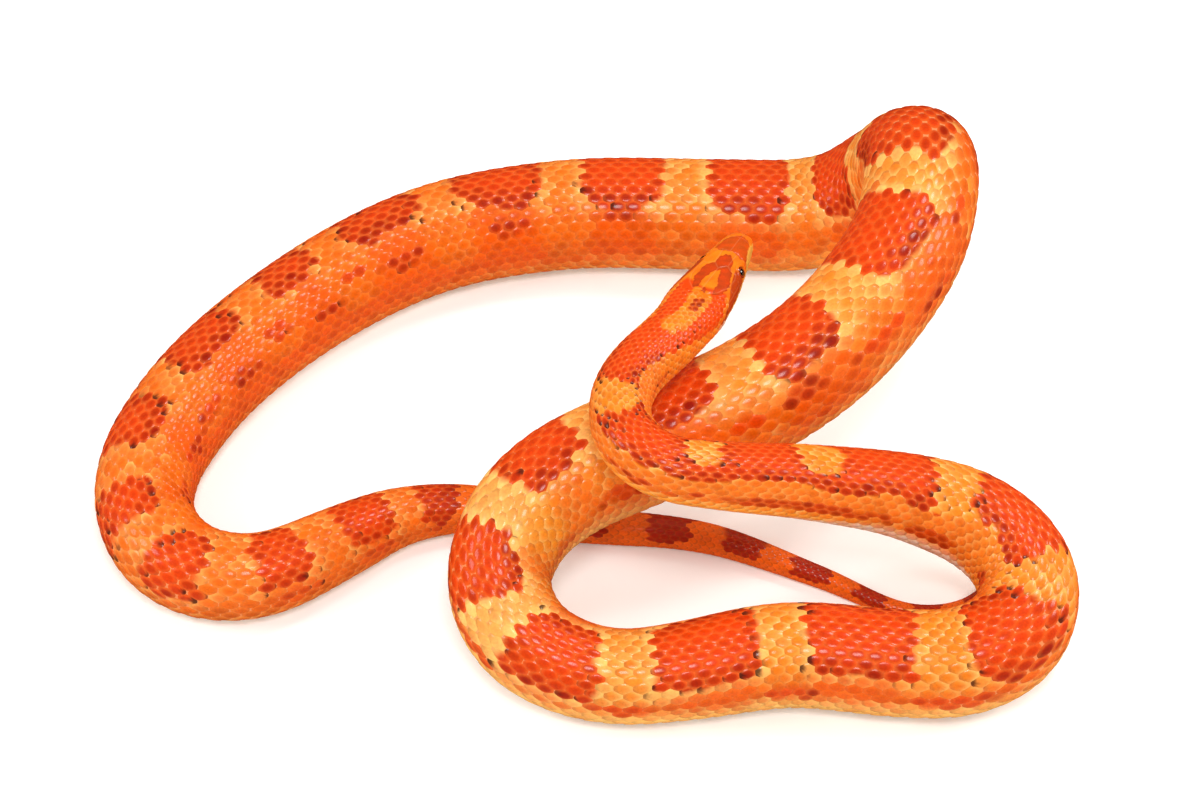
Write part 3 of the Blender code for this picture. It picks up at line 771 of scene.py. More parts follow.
@dataclass(frozen=True)
class KeratinFinish:
    """Keratin as a snake sheds it: smooth, thin and hard, so it takes small sharp lights over a softer sheen."""

    name: str = "glossy_scale_keratin"
    roughness: float = 0.45
    specular: float = 0.05
    coat: float = 0.45
    coat_roughness: float = 0.17
    ior: float = 1.55
    mottle_mm: float = 0.7      # size of the faint mottling inside a scale
    mottle: float = 0.10
    grain_mm: float = 0.22      # fine relief; real growth lines are finer than the render shows
    grain: float = 0.012

    def material(self) -> bpy.types.Material:
        """The finish as a material that reads the markings from the mesh."""
        made = bpy.data.materials.new(self.name)
        made.use_nodes = True
        tree = made.node_tree
        tree.nodes.clear()
        place = add(tree, "ShaderNodeTexCoord")
        marking = add(tree, "ShaderNodeAttribute", {"attribute_name": "marking"})
        mottle = add(tree, "ShaderNodeTexNoise", {"Scale": 1 / (self.mottle_mm * MM), "Detail": 2.0},
                     {"Vector": place.outputs["Object"]})
        depth = add(tree, "ShaderNodeMapRange", {"From Min": 0.3, "From Max": 0.7, "To Min": 1 - self.mottle,
                                                 "To Max": 1 + self.mottle}, {"Value": mottle.outputs["Fac"]})
        colour = add(tree, "ShaderNodeVectorMath", {"operation": "SCALE"},
                     {0: marking.outputs["Color"], "Scale": depth.outputs["Result"]})
        grain = add(tree, "ShaderNodeTexNoise", {"Scale": 1 / (self.grain_mm * MM), "Detail": 1.0},
                    {"Vector": place.outputs["Object"]})
        bump = add(tree, "ShaderNodeBump", {"Strength": 1.0, "Distance": self.grain * MM},
                   {"Height": grain.outputs["Fac"]})
        shader = add(tree, "ShaderNodeBsdfPrincipled", {
            "Roughness": self.roughness, "IOR": self.ior, "Specular IOR Level": self.specular,
            "Coat Weight": self.coat, "Coat Roughness": self.coat_roughness,
        }, {"Base Color": colour.outputs[0], "Normal": bump.outputs["Normal"]})
        add(tree, "ShaderNodeOutputMaterial", None, {"Surface": shader.outputs["BSDF"]})
        return made


PLATE_FINISH = KeratinFinish("head_plate_keratin", roughness=0.42, coat=0.30, mottle_mm=0.45, mottle=0.07)
SKIN_FINISH = KeratinFinish("soft_interscale_skin", roughness=0.6, coat=0.0, mottle_mm=0.35, mottle=0.08,
                            grain_mm=0.16, grain=0.03)
SCUTE_FINISH = KeratinFinish("belly_scute_keratin", roughness=0.42, coat=0.25, mottle_mm=1.2, mottle=0.05)


@dataclass(frozen=True)
class EyeFinish:
    """A round pupil and dark red iris under the clear hard spectacle that covers a snake's eye."""

    name: str = "spectacled_eye"
    pupil: str = "#080405"
    ring: str = "#C2541E"
    iris: str = "#7E2210"
    rim: str = "#1A0806"
    pupil_edge: float = 0.58    # shares of the way from the middle of the eye to its side
    iris_edge: float = 0.86

    def material(self) -> bpy.types.Material:
        """The finish as a material that reads how far each point lies from the middle of the eye."""
        made = bpy.data.materials.new(self.name)
        made.use_nodes = True
        tree = made.node_tree
        tree.nodes.clear()
        gaze = add(tree, "ShaderNodeAttribute", {"attribute_name": "gaze"})
        place = add(tree, "ShaderNodeTexCoord")
        streaks = add(tree, "ShaderNodeTexNoise", {"Scale": 1 / (0.35 * MM), "Detail": 3.0},
                      {"Vector": place.outputs["Object"]})
        shift = add(tree, "ShaderNodeMapRange", {"To Min": -0.03, "To Max": 0.03}, {"Value": streaks.outputs["Fac"]})
        total = add(tree, "ShaderNodeMath", {"operation": "ADD"}, {0: gaze.outputs["Fac"], 1: shift.outputs["Result"]})
        ramp = add(tree, "ShaderNodeValToRGB", None, {"Fac": total.outputs["Value"]})
        stops = [(0.0, self.pupil), (self.pupil_edge, self.pupil), (self.pupil_edge + 0.03, self.ring),
                 (self.pupil_edge + 0.10, self.iris), (self.iris_edge, self.iris), (self.iris_edge + 0.05, self.rim)]
        while len(ramp.color_ramp.elements) < len(stops):
            ramp.color_ramp.elements.new(1.0)
        for stop, (where, code) in zip(ramp.color_ramp.elements, stops):
            stop.position = where
            stop.color = (*linear(code), 1.0)
        shader = add(tree, "ShaderNodeBsdfPrincipled", {
            "Roughness": 0.12, "IOR": 1.45, "Coat Weight": 1.0, "Coat Roughness": 0.03,
        }, {"Base Color": ramp.outputs["Color"]})
        add(tree, "ShaderNodeOutputMaterial", None, {"Surface": shader.outputs["BSDF"]})
        return made


def mesh_piece(
    name: str, points: np.ndarray, faces: list[tuple[int, ...]] | np.ndarray, colours: np.ndarray | None = None
) -> bpy.types.Object:
    """A mesh object at the origin, with its place in its mesh.

    Args:
        name: The piece's name.
        points: Places in mm.
        faces: Corners of each face.
        colours: One linear colour for each point, if the piece has markings.

    Returns:
        The object, smooth shaded and linked to the scene.
    """
    mesh = bpy.data.meshes.new(name)
    mesh.from_pydata((points * MM).tolist(), [], [tuple(int(k) for k in face) for face in faces])
    mesh.update()
    mesh.shade_smooth()
    if colours is not None:
        layer = mesh.attributes.new("marking", "FLOAT_COLOR", "POINT")
        layer.data.foreach_set("color", np.hstack([colours, np.ones((len(colours), 1))]).astype(np.float32).ravel())
    made = bpy.data.objects.new(name, mesh)
    bpy.context.scene.collection.objects.link(made)
    return made


@dataclass
class HeadRelief:
    """Seams between the head's plates, mouth, lips, eye sockets and nostrils, as heights on the skin in mm."""

    body: BodyShape
    seam_depth: float = 0.12
    seam_width: float = 0.12
    pillow: float = 0.08
    lip_depth: float = 0.34
    jaw_inset: float = 0.22
    socket_radius: float = 1.62
    socket_depth: float = 1.25
    rim_height: float = 0.12

    # Seams on top of the head, as along from the snout and out from the head's middle, each on both sides.
    TOP_SEAMS = [
        [(0.9, 0.0), (1.3, 1.5), (1.9, 2.7)],
        [(0.9, 0.0), (4.3, 0.0)],
        [(4.3, 0.0), (4.5, 1.6), (5.0, 3.2)],
        [(4.3, 0.0), (11.7, 0.0)],
        [(11.7, 0.0), (11.6, 2.2), (12.3, 3.5), (12.4, 4.8)],
        [(11.6, 2.2), (14.5, 2.0), (17.6, 2.0)],
        [(17.6, 2.0), (18.8, 0.9), (19.7, 0.0)],
        [(17.6, 2.0), (18.7, 3.2), (18.9, 5.0)],
        [(19.7, 0.0), (29.7, 0.0)],
        [(18.9, 5.0), (20.5, 5.5), (24.5, 5.6), (28.3, 4.3), (30.5, 2.2), (29.7, 0.0)],
    ]
    # Seams on the sides, as along from the snout and up from the axis, each on both sides.
    SIDE_SEAMS = [
        [(1.9, 0.0), (5.0, 0.3), (9.0, 0.5), (12.5, 0.2), (13.9, -0.5), (15.6, -0.9), (17.4, -0.6), (19.5, -0.1),
         (23.0, 0.8), (26.5, 1.4), (29.5, 1.0)],
        [(3.0, 0.1), (3.0, 2.4)],
        [(4.9, 0.3), (5.1, 2.6)],
        [(9.4, 0.5), (9.7, 3.0)],
        [(9.6, 1.8), (13.4, 2.2)],
        [(19.4, -0.1), (19.9, 1.4), (19.5, 3.1)],
        [(17.6, 1.5), (19.8, 1.4)],
        [(19.8, 1.9), (24.2, 2.5), (24.4, 4.4)],
        [(24.2, 1.0), (24.4, 2.5), (28.4, 2.9)],
        [(28.2, 1.2), (28.4, 4.4)],
    ]
    UPPER_LIP_SEAMS = (2.1, 4.5, 7.0, 9.7, 12.5, 16.0, 20.2, 24.7)
    LOWER_LIP_SEAMS = (1.9, 3.9, 6.2, 8.8, 11.6, 14.8, 18.4, 22.6)
    CHIN_SEAMS = [
        [(2.2, 180), (14.5, 180)], [(8.6, 180), (8.8, 158), (8.2, 140)], [(14.5, 180), (14.6, 160), (13.6, 140)],
    ]

    def __post_init__(self) -> None:
        """Place every seam on the head's surface."""
        self.line = np.array(MOUTH_LINE)
        runs = []
        for hand in (1, -1):
            for seam in self.TOP_SEAMS:
                runs.append([(s, self.body.share_at_out(s, hand * out - self.lean(s))) for s, out in self.dense(seam)])
            for seam in self.SIDE_SEAMS:
                runs.append([(s, self.body.share_at_height(s, up, hand)) for s, up in self.dense(seam)])
            for at in self.UPPER_LIP_SEAMS:
                low = float(np.interp(at, *self.line.T))
                top = float(np.interp(at + 0.5, *zip(*self.SIDE_SEAMS[0])))
                seam = [(at, low), (at + 0.5, top)]
                runs.append([(s, self.body.share_at_height(s, up, hand)) for s, up in self.dense(seam)])
            for at in self.LOWER_LIP_SEAMS:
                low = float(np.interp(at, *self.line.T))
                seam = [(at, low), (at - 0.4, low - 1.5)]
                runs.append([(s, self.body.share_at_height(s, up, hand)) for s, up in self.dense(seam)])
            lower = [(s, float(np.interp(s, *self.line.T)) - 1.5) for s in np.arange(1.8, 28.0, 0.5)]
            runs.append([(s, self.body.share_at_height(s, up, hand)) for s, up in self.dense(lower)])
            for seam in self.CHIN_SEAMS:
                runs.append([(s, self.body.share_at_angle(s, hand * math.radians(a))) for s, a in self.dense(seam, 2.0)])
        places = np.array([place for run in runs for place in run])
        self.seams = self.body.wrap(places[:, 0], places[:, 1], np.zeros(len(places)))

    @staticmethod
    def lean(at: float) -> float:
        """How far the head's own middle lies to the snake's right, in mm."""
        return 0.6 * float(np.clip((60 - at) / 40, 0, 1))

    @staticmethod
    def dense(seam: list[tuple[float, float]], step: float = 0.12) -> list[tuple[float, float]]:
        """A polyline's corners with points between them."""
        made = []
        for first, second in zip(seam, seam[1:]):
            count = max(2, math.ceil(math.dist(first, second) / step))
            for k in range(count):
                made.append(tuple(a + (b - a) * k / count for a, b in zip(first, second)))
        made.append(seam[-1])
        return made

    def eye_axis(self, hand: int) -> tuple[np.ndarray, np.ndarray]:
        """Middle of an eye and the direction it looks in.

        Args:
            hand: 1 for the snake's left, -1 for its right.

        Returns:
            The middle in mm and a unit direction.
        """
        middle = self.body.point(EYE_ALONG, hand * EYE_OUT, EYE_UP)
        ahead = self.body.point(EYE_ALONG - 0.05, hand * (EYE_OUT + 0.79), EYE_UP + 0.61) - middle
        return middle, ahead / np.linalg.norm(ahead)

    def distances(self, points: np.ndarray) -> np.ndarray:
        """How far each point lies from the nearest seam."""
        tree = search_tree(self.seams)
        return np.array([tree.find(Vector(point))[2] for point in points])

    def heights(self, at: np.ndarray, share: np.ndarray) -> tuple[np.ndarray, np.ndarray]:
        """Heights of the head's skin against the outer surface, and how much each place lies in a seam or hole.

        Args:
            at: Distances from the snout.
            share: Shares of the way round.

        Returns:
            Heights in mm, and shares from 0 on a plate to 1 in a crease.
        """
        surface = self.body.wrap(at, share, np.zeros(len(at)))
        flat = self.body.read(self.body.flat, at, share)
        out, up = flat[:, 0], flat[:, 1]
        far = self.distances(surface)
        crease = np.exp(-(far / self.seam_width) ** 2) * smoothstep(0.3, 1.0, at)
        height = -self.seam_depth * crease + self.pillow * (smoothstep(0.0, 0.9, far) - 1.0)
        line = np.interp(at, *self.line.T)
        off = up - line
        shut = smoothstep(29.6, 28.4, at)
        gape = np.exp(-(off / 0.15) ** 2) * shut
        height -= self.lip_depth * gape
        height -= self.jaw_inset * smoothstep(0.05, -0.35, off) * smoothstep(33.0, 25.0, at)
        height -= 0.45 * smoothstep(0.0, -0.3, off) * smoothstep(1.6, 0.0, at)
        height += 0.10 * np.exp(-((off - 0.75) / 0.5) ** 2) * smoothstep(1.0, 3.0, at) * shut
        # Shares in creases and holes, from which the skin takes pale seams and painted shade in the mouth, sockets and
        # nostrils.
        dark = np.maximum(0.55 * crease, gape)
        for hand in (1, -1):
            middle, axis = self.eye_axis(hand)
            run = surface - middle
            along = run @ axis
            off_axis = np.linalg.norm(run - along[:, None] * axis, axis=1)
            off_axis = np.where((along > 0) & (np.linalg.norm(run, axis=1) < 6), off_axis, 99.0)
            above = smoothstep(-0.4, 1.4, up - EYE_UP)
            hole = 1 - smoothstep(self.socket_radius - 0.22, self.socket_radius + 0.12, off_axis)
            height = height * (1 - hole) - self.socket_depth * hole
            height += (self.rim_height + 0.04 * above) * np.exp(-((off_axis - 2.05) / 0.28) ** 2)
            height -= 0.10 * np.exp(-((off_axis - 2.62) / 0.16) ** 2)
            dark = np.maximum(dark * (off_axis > self.socket_radius - 0.2), hole)
            nostril = self.body.point(NOSTRIL[0], hand * NOSTRIL[1], NOSTRIL[2])
            from_nostril = np.linalg.norm((surface - nostril) * 1.0, axis=1)
            pit = 1 - smoothstep(0.28, 0.62, from_nostril)
            height -= 0.5 * pit
            height += 0.05 * np.exp(-((from_nostril - 0.8) / 0.2) ** 2)
            dark = np.maximum(dark, pit)
        return height, np.clip(dark, 0.0, 1.0)


def search_tree(points: np.ndarray) -> kdtree.KDTree:
    """A search tree over points."""
    tree = kdtree.KDTree(len(points))
    for index, point in enumerate(points):
        tree.insert(point, index)
    tree.balance()
    return tree


# Where the small scales start behind the head's plates: share of the way round, and distance from the snout in mm.
COAT_START = [(0.0, 30.3), (0.10, 31.2), (0.16, 30.8), (0.24, 28.6), (0.33, 26.4), (0.45, 28.4), (0.60, 29.9),
              (0.66, 30.0), (0.72, 26.0), (0.80, 20.0), (1.0, 16.0)]
SCUTE_START = 38.0


@dataclass
class Skin:
    """The one skin under the whole coat: bare on the head, where it is carved into plates."""

    body: BodyShape
    markings: Markings
    relief: HeadRelief
    head_rings: int = 168
    head_sides: int = 256
    head_end: float = 36.0
    body_sides: int = 64
    body_step: float = 2.4

    def sink(self, at: np.ndarray, share: np.ndarray) -> np.ndarray:
        """Depth of the skin below the outer surface where the coat covers it, in mm."""
        start = np.interp(np.abs(share), *zip(*COAT_START))
        room = COAT_ROOM * np.clip(self.body.value(self.body.width, at) / 28, 0.18, 1.0)
        return room * smoothstep(-0.3, 1.2, at - start)

    def build(self) -> bpy.types.Object:
        """Make the skin and dress it.

        Returns:
            The piece.
        """
        body = self.body
        head = self.head_end * (np.arange(self.head_rings + 1) / self.head_rings) ** 1.25
        count = math.ceil((body.length - self.head_end - 0.8) / self.body_step)
        rest = np.linspace(self.head_end + 0.8, body.length, count + 1)
        fine = np.arange(self.head_sides) / self.head_sides * 2 - 1
        coarse = np.arange(self.body_sides) / self.body_sides * 2 - 1
        at = np.concatenate([np.repeat(head, self.head_sides), np.repeat(rest, self.body_sides)])
        share = np.concatenate([np.tile(fine, len(head)), np.tile(coarse, len(rest))])
        height = -self.sink(at, share)
        on_head = at <= self.head_end
        relief, dark = self.relief.heights(at[on_head], share[on_head])
        bare = smoothstep(1.0, 0.0, at[on_head] - np.interp(np.abs(share[on_head]), *zip(*COAT_START)))
        height[on_head] += relief * bare
        points = body.wrap(at, share, height)
        colours, _ = self.markings.read(at, share, Zone.SKIN)
        # Painted highlight: the skin a little paler along the seams between the head's plates.
        seam = mix(colours[on_head], self.markings.colour("seam"), np.full(len(dark), 0.20))
        # Painted shade: the nostrils, the eye sockets and the line of the mouth take a near-black colour.
        socket = np.repeat(self.markings.colour("nostril"), int(on_head.sum()), axis=0)
        shaded = mix(colours[on_head], seam, np.clip(dark * 1.6, 0, 1) * bare)
        colours[on_head] = mix(shaded, socket, smoothstep(0.6, 0.95, dark))

        faces = []
        for ring in range(len(head) - 1):
            faces += self.strip(ring * self.head_sides, (ring + 1) * self.head_sides, self.head_sides)
        last, first = (len(head) - 1) * self.head_sides, len(head) * self.head_sides
        ratio = self.head_sides // self.body_sides
        for k in range(self.body_sides):
            after = (k + 1) % self.body_sides
            fan = [last + (k * ratio + step) % self.head_sides for step in range(ratio + 1)]
            half = ratio // 2
            for step in range(ratio):
                corner = first + (k if step < half else after)
                faces.append((fan[step], fan[step + 1], corner))
            faces.append((fan[half], first + after, first + k))
        for ring in range(len(rest) - 1):
            start = first + ring * self.body_sides
            faces += self.strip(start, start + self.body_sides, self.body_sides)
        points, colours, faces = self.close(points, colours, faces, [0, self.head_sides], -0.25)
        tail = first + (len(rest) - 1) * self.body_sides
        points, colours, faces = self.close(points, colours, faces, [tail, self.body_sides], 0.35)

        piece = mesh_piece("skin", points, faces, colours)
        tidy_normals(piece)
        piece.data.materials.append(PLATE_FINISH.material())
        piece.data.materials.append(SKIN_FINISH.material())
        reach = np.concatenate([at, [0.0, body.length]])
        slots = [0 if reach[face[0]] < 31.0 else 1 for face in (tuple(p.vertices) for p in piece.data.polygons)]
        piece.data.polygons.foreach_set("material_index", slots)
        return piece

    @staticmethod
    def strip(first: int, second: int, sides: int) -> list[tuple[int, ...]]:
        """Faces between two rings of equal count."""
        return [
            (first + k, first + (k + 1) % sides, second + (k + 1) % sides, second + k) for k in range(sides)
        ]

    def close(
        self, points: np.ndarray, colours: np.ndarray, faces: list[tuple[int, ...]], ring: list[int], bulge: float
    ) -> tuple[np.ndarray, np.ndarray, list[tuple[int, ...]]]:
        """Close a ring with one point set out along the body.

        Args:
            points: All points.
            colours: Their colours.
            faces: All faces.
            ring: First point of the ring and its count.
            bulge: How far along the body the closing point stands, in mm.

        Returns:
            Points, colours and faces with the cap.
        """
        start, sides = ring
        loop = np.arange(start, start + sides)
        row = 0 if bulge < 0 else -1
        tip = points[loop].mean(axis=0) + self.body.along[row] * bulge
        points = np.vstack([points, tip])
        colours = np.vstack([colours, colours[loop].mean(axis=0)])
        middle = len(points) - 1
        for k in range(sides):
            faces.append((int(loop[k]), int(loop[(k + 1) % sides]), middle))
        return points, colours, faces


def tidy_normals(piece: bpy.types.Object) -> None:
    """Turn every face of a closed or lone sheet outwards."""
    bm = bmesh.new()
    bm.from_mesh(piece.data)
    bmesh.ops.recalc_face_normals(bm, faces=bm.faces)
    bm.to_mesh(piece.data)
    bm.free()
    piece.data.shade_smooth()


@dataclass(frozen=True)
class ScaleTemplate:
    """One scale in its own plan: x towards its free end, y across, both from -1 to 1, and heights in mm."""

    name: str
    rounding_front: float
    rounding_rear: float
    rings: tuple[tuple[float, float], ...] = ((0.0, 0.22), (0.5, 0.185), (0.74, 0.11), (1.0, 0.0))
    base: float = -0.12         # height of its middle before it bulges
    tilt: float = 0.10          # how much its free end stands above its middle
    sunk: float = -0.25         # height of its rim, sunk in the skin

    def build(self) -> bpy.types.Object:
        """Make the template.

        Returns:
            A mesh of a few dozen faces with its plan kept in attributes.
        """
        reach = len(self.rings) - 1
        side = 2 * reach + 1
        points, rims, tips = [], [], []
        for i in range(-reach, reach + 1):
            for j in range(-reach, reach + 1):
                ring = max(abs(i), abs(j))
                turn = self.turn(i, j, ring)
                share, bulge = self.rings[ring]
                power = self.rounding_rear if math.cos(turn) > 0 else self.rounding_front
                radius = (abs(math.cos(turn)) ** power + abs(math.sin(turn)) ** power) ** (-1 / power)
                x, y = share * radius * math.cos(turn), share * radius * math.sin(turn)
                height = self.sunk if ring == reach else self.base + self.tilt * x + bulge
                points.append((x, y, height))
                rims.append(share)
                tips.append(x)
        faces = []
        for i in range(side - 1):
            for j in range(side - 1):
                a = i * side + j
                faces.append((a, a + side, a + side + 1, a + 1))
        mesh = bpy.data.meshes.new(self.name)
        mesh.from_pydata(points, [], faces)
        for name, values in (("rim", rims), ("tip", tips)):
            mesh.attributes.new(name, "FLOAT", "POINT").data.foreach_set("value", values)
        return bpy.data.objects.new(self.name, mesh)

    @staticmethod
    def turn(i: int, j: int, ring: int) -> float:
        """The angle of a place on a square ring, spread evenly."""
        if ring == 0:
            return 0.0
        if abs(i) == ring:
            quarter = math.pi / 4 * j / ring
            return quarter if i > 0 else math.pi - quarter
        return math.copysign(math.pi / 2 - math.pi / 4 * i / ring, j)


@dataclass(frozen=True)
class ScuteTemplate:
    """One belly scute: a broad band whose ends sweep back."""

    name: str = "scute_template"
    across: int = 16
    along: tuple[float, ...] = (-1.0, -0.86, 0.0, 0.86, 1.0)
    base: float = -0.12
    tilt: float = 0.12
    sunk: float = -0.25

    def build(self) -> bpy.types.Object:
        """Make the template.

        Returns:
            A mesh of a few dozen faces with its plan kept in attributes.
        """
        points, rims, tips = [], [], []
        for step in range(self.across + 1):
            y = math.copysign(1 - (1 - abs(step / self.across * 2 - 1)) ** 1.15, step - self.across / 2)
            for a in self.along:
                x = a * (1 - 0.35 * abs(y) ** 5) + 0.18 * y ** 4
                rim = max(abs(a), abs(y) ** 6)
                edge = abs(a) == 1.0 or step in (0, self.across)
                height = self.sunk if edge else self.base + self.tilt * a + 0.05 * (1 - a * a) - 0.08 * abs(y) ** 6
                points.append((x, y, height))
                rims.append(rim)
                tips.append(a)
        count = len(self.along)
        faces = []
        for step in range(self.across):
            for k in range(count - 1):
                a = step * count + k
                faces.append((a, a + 1, a + count + 1, a + count))
        mesh = bpy.data.meshes.new(self.name)
        mesh.from_pydata(points, [], faces)
        for name, values in (("rim", rims), ("tip", tips)):
            mesh.attributes.new(name, "FLOAT", "POINT").data.foreach_set("value", values)
        return bpy.data.objects.new(self.name, mesh)


class ScatterTree:
    """Geometry Nodes that set one template on every root, vary it a little and make it plain mesh."""

    def __init__(self, name: str) -> None:
        """Build the tree with its named inputs."""
        self.tree = bpy.data.node_groups.new(name, "GeometryNodeTree")
        sockets = self.tree.interface
        self.inputs = {}
        for label, kind in (
            ("Roots", "NodeSocketGeometry"), ("Template", "NodeSocketObject"), ("Size variation", "NodeSocketFloat"),
            ("Turn variation", "NodeSocketFloat"), ("Seed", "NodeSocketInt"), ("Finish", "NodeSocketMaterial"),
        ):
            self.inputs[label] = sockets.new_socket(label, in_out="INPUT", socket_type=kind).identifier
        sockets.new_socket("Coat", in_out="OUTPUT", socket_type="NodeSocketGeometry")
        tree = self.tree
        given = add(tree, "NodeGroupInput").outputs
        template = add(tree, "GeometryNodeObjectInfo", None, {"Object": given["Template"]})
        size = add(tree, "GeometryNodeInputNamedAttribute", {"data_type": "FLOAT_VECTOR", "Name": "size"})
        least = add(tree, "ShaderNodeMath", {"operation": "SUBTRACT", 0: 1.0}, {1: given["Size variation"]})
        most = add(tree, "ShaderNodeMath", {"operation": "ADD", 0: 1.0}, {1: given["Size variation"]})
        vary = add(tree, "FunctionNodeRandomValue", {"data_type": "FLOAT"},
                   {2: least.outputs[0], 3: most.outputs[0], "Seed": given["Seed"]})
        scaled = add(tree, "ShaderNodeVectorMath", {"operation": "SCALE"},
                     {0: size.outputs["Attribute"], "Scale": vary.outputs[1]})
        left = add(tree, "ShaderNodeMath", {"operation": "MULTIPLY", 1: -1.0}, {0: given["Turn variation"]})
        reseed = add(tree, "ShaderNodeMath", {"operation": "ADD", 1: 1.0}, {0: given["Seed"]})
        turn = add(tree, "FunctionNodeRandomValue", {"data_type": "FLOAT"},
                   {2: left.outputs[0], 3: given["Turn variation"], "Seed": reseed.outputs[0]})
        angles = add(tree, "ShaderNodeCombineXYZ", None, {"Z": turn.outputs[1]})
        euler = add(tree, "FunctionNodeEulerToRotation", None, {0: angles.outputs[0]})
        set_on = add(tree, "GeometryNodeInstanceOnPoints", None, {
            "Points": given["Roots"], "Instance": template.outputs["Geometry"],
            "Rotation": euler.outputs[0], "Scale": scaled.outputs[0],
        })
        plain = add(tree, "GeometryNodeRealizeInstances", None, {"Geometry": set_on.outputs[0]})
        finish = add(tree, "GeometryNodeSetMaterial", None,
                     {"Geometry": plain.outputs[0], "Material": given["Finish"]})
        add(tree, "NodeGroupOutput", None, {0: finish.outputs[0]})

    def run(
        self, roots: np.ndarray, sizes: np.ndarray, template: bpy.types.Object, finish: bpy.types.Material,
        size_variation: float, turn_variation: float, seed: int,
    ) -> bpy.types.Mesh:
        """Set the template on every root.

        Args:
            roots: Places in the flat plan of the body, in mm.
            sizes: Half length, half width and height factor of each.
            template: The shape to repeat.
            finish: Its material.
            size_variation: Most that a size may differ, as a share.
            turn_variation: Most that one may be turned, in radians.
            seed: Fixes the variation.

        Returns:
            A plain mesh with the attributes root, rim and tip on its points.
        """
        mesh = bpy.data.meshes.new("roots")
        mesh.from_pydata(roots.tolist(), [], [])
        mesh.attributes.new("size", "FLOAT_VECTOR", "POINT").data.foreach_set("vector", sizes.astype(np.float32).ravel())
        mesh.attributes.new("root", "INT", "POINT").data.foreach_set("value", np.arange(len(roots), dtype=np.int32))
        holder = bpy.data.objects.new("roots", mesh)
        bpy.context.scene.collection.objects.link(holder)
        modifier = holder.modifiers.new("coat", "NODES")
        modifier.node_group = self.tree
        modifier[self.inputs["Template"]] = template
        modifier[self.inputs["Size variation"]] = size_variation
        modifier[self.inputs["Turn variation"]] = turn_variation
        modifier[self.inputs["Seed"]] = seed
        modifier[self.inputs["Finish"]] = finish
        made = bpy.data.meshes.new_from_object(holder.evaluated_get(bpy.context.evaluated_depsgraph_get()))
        holder.modifiers.clear()
        bpy.data.objects.remove(holder, do_unlink=True)
        return made


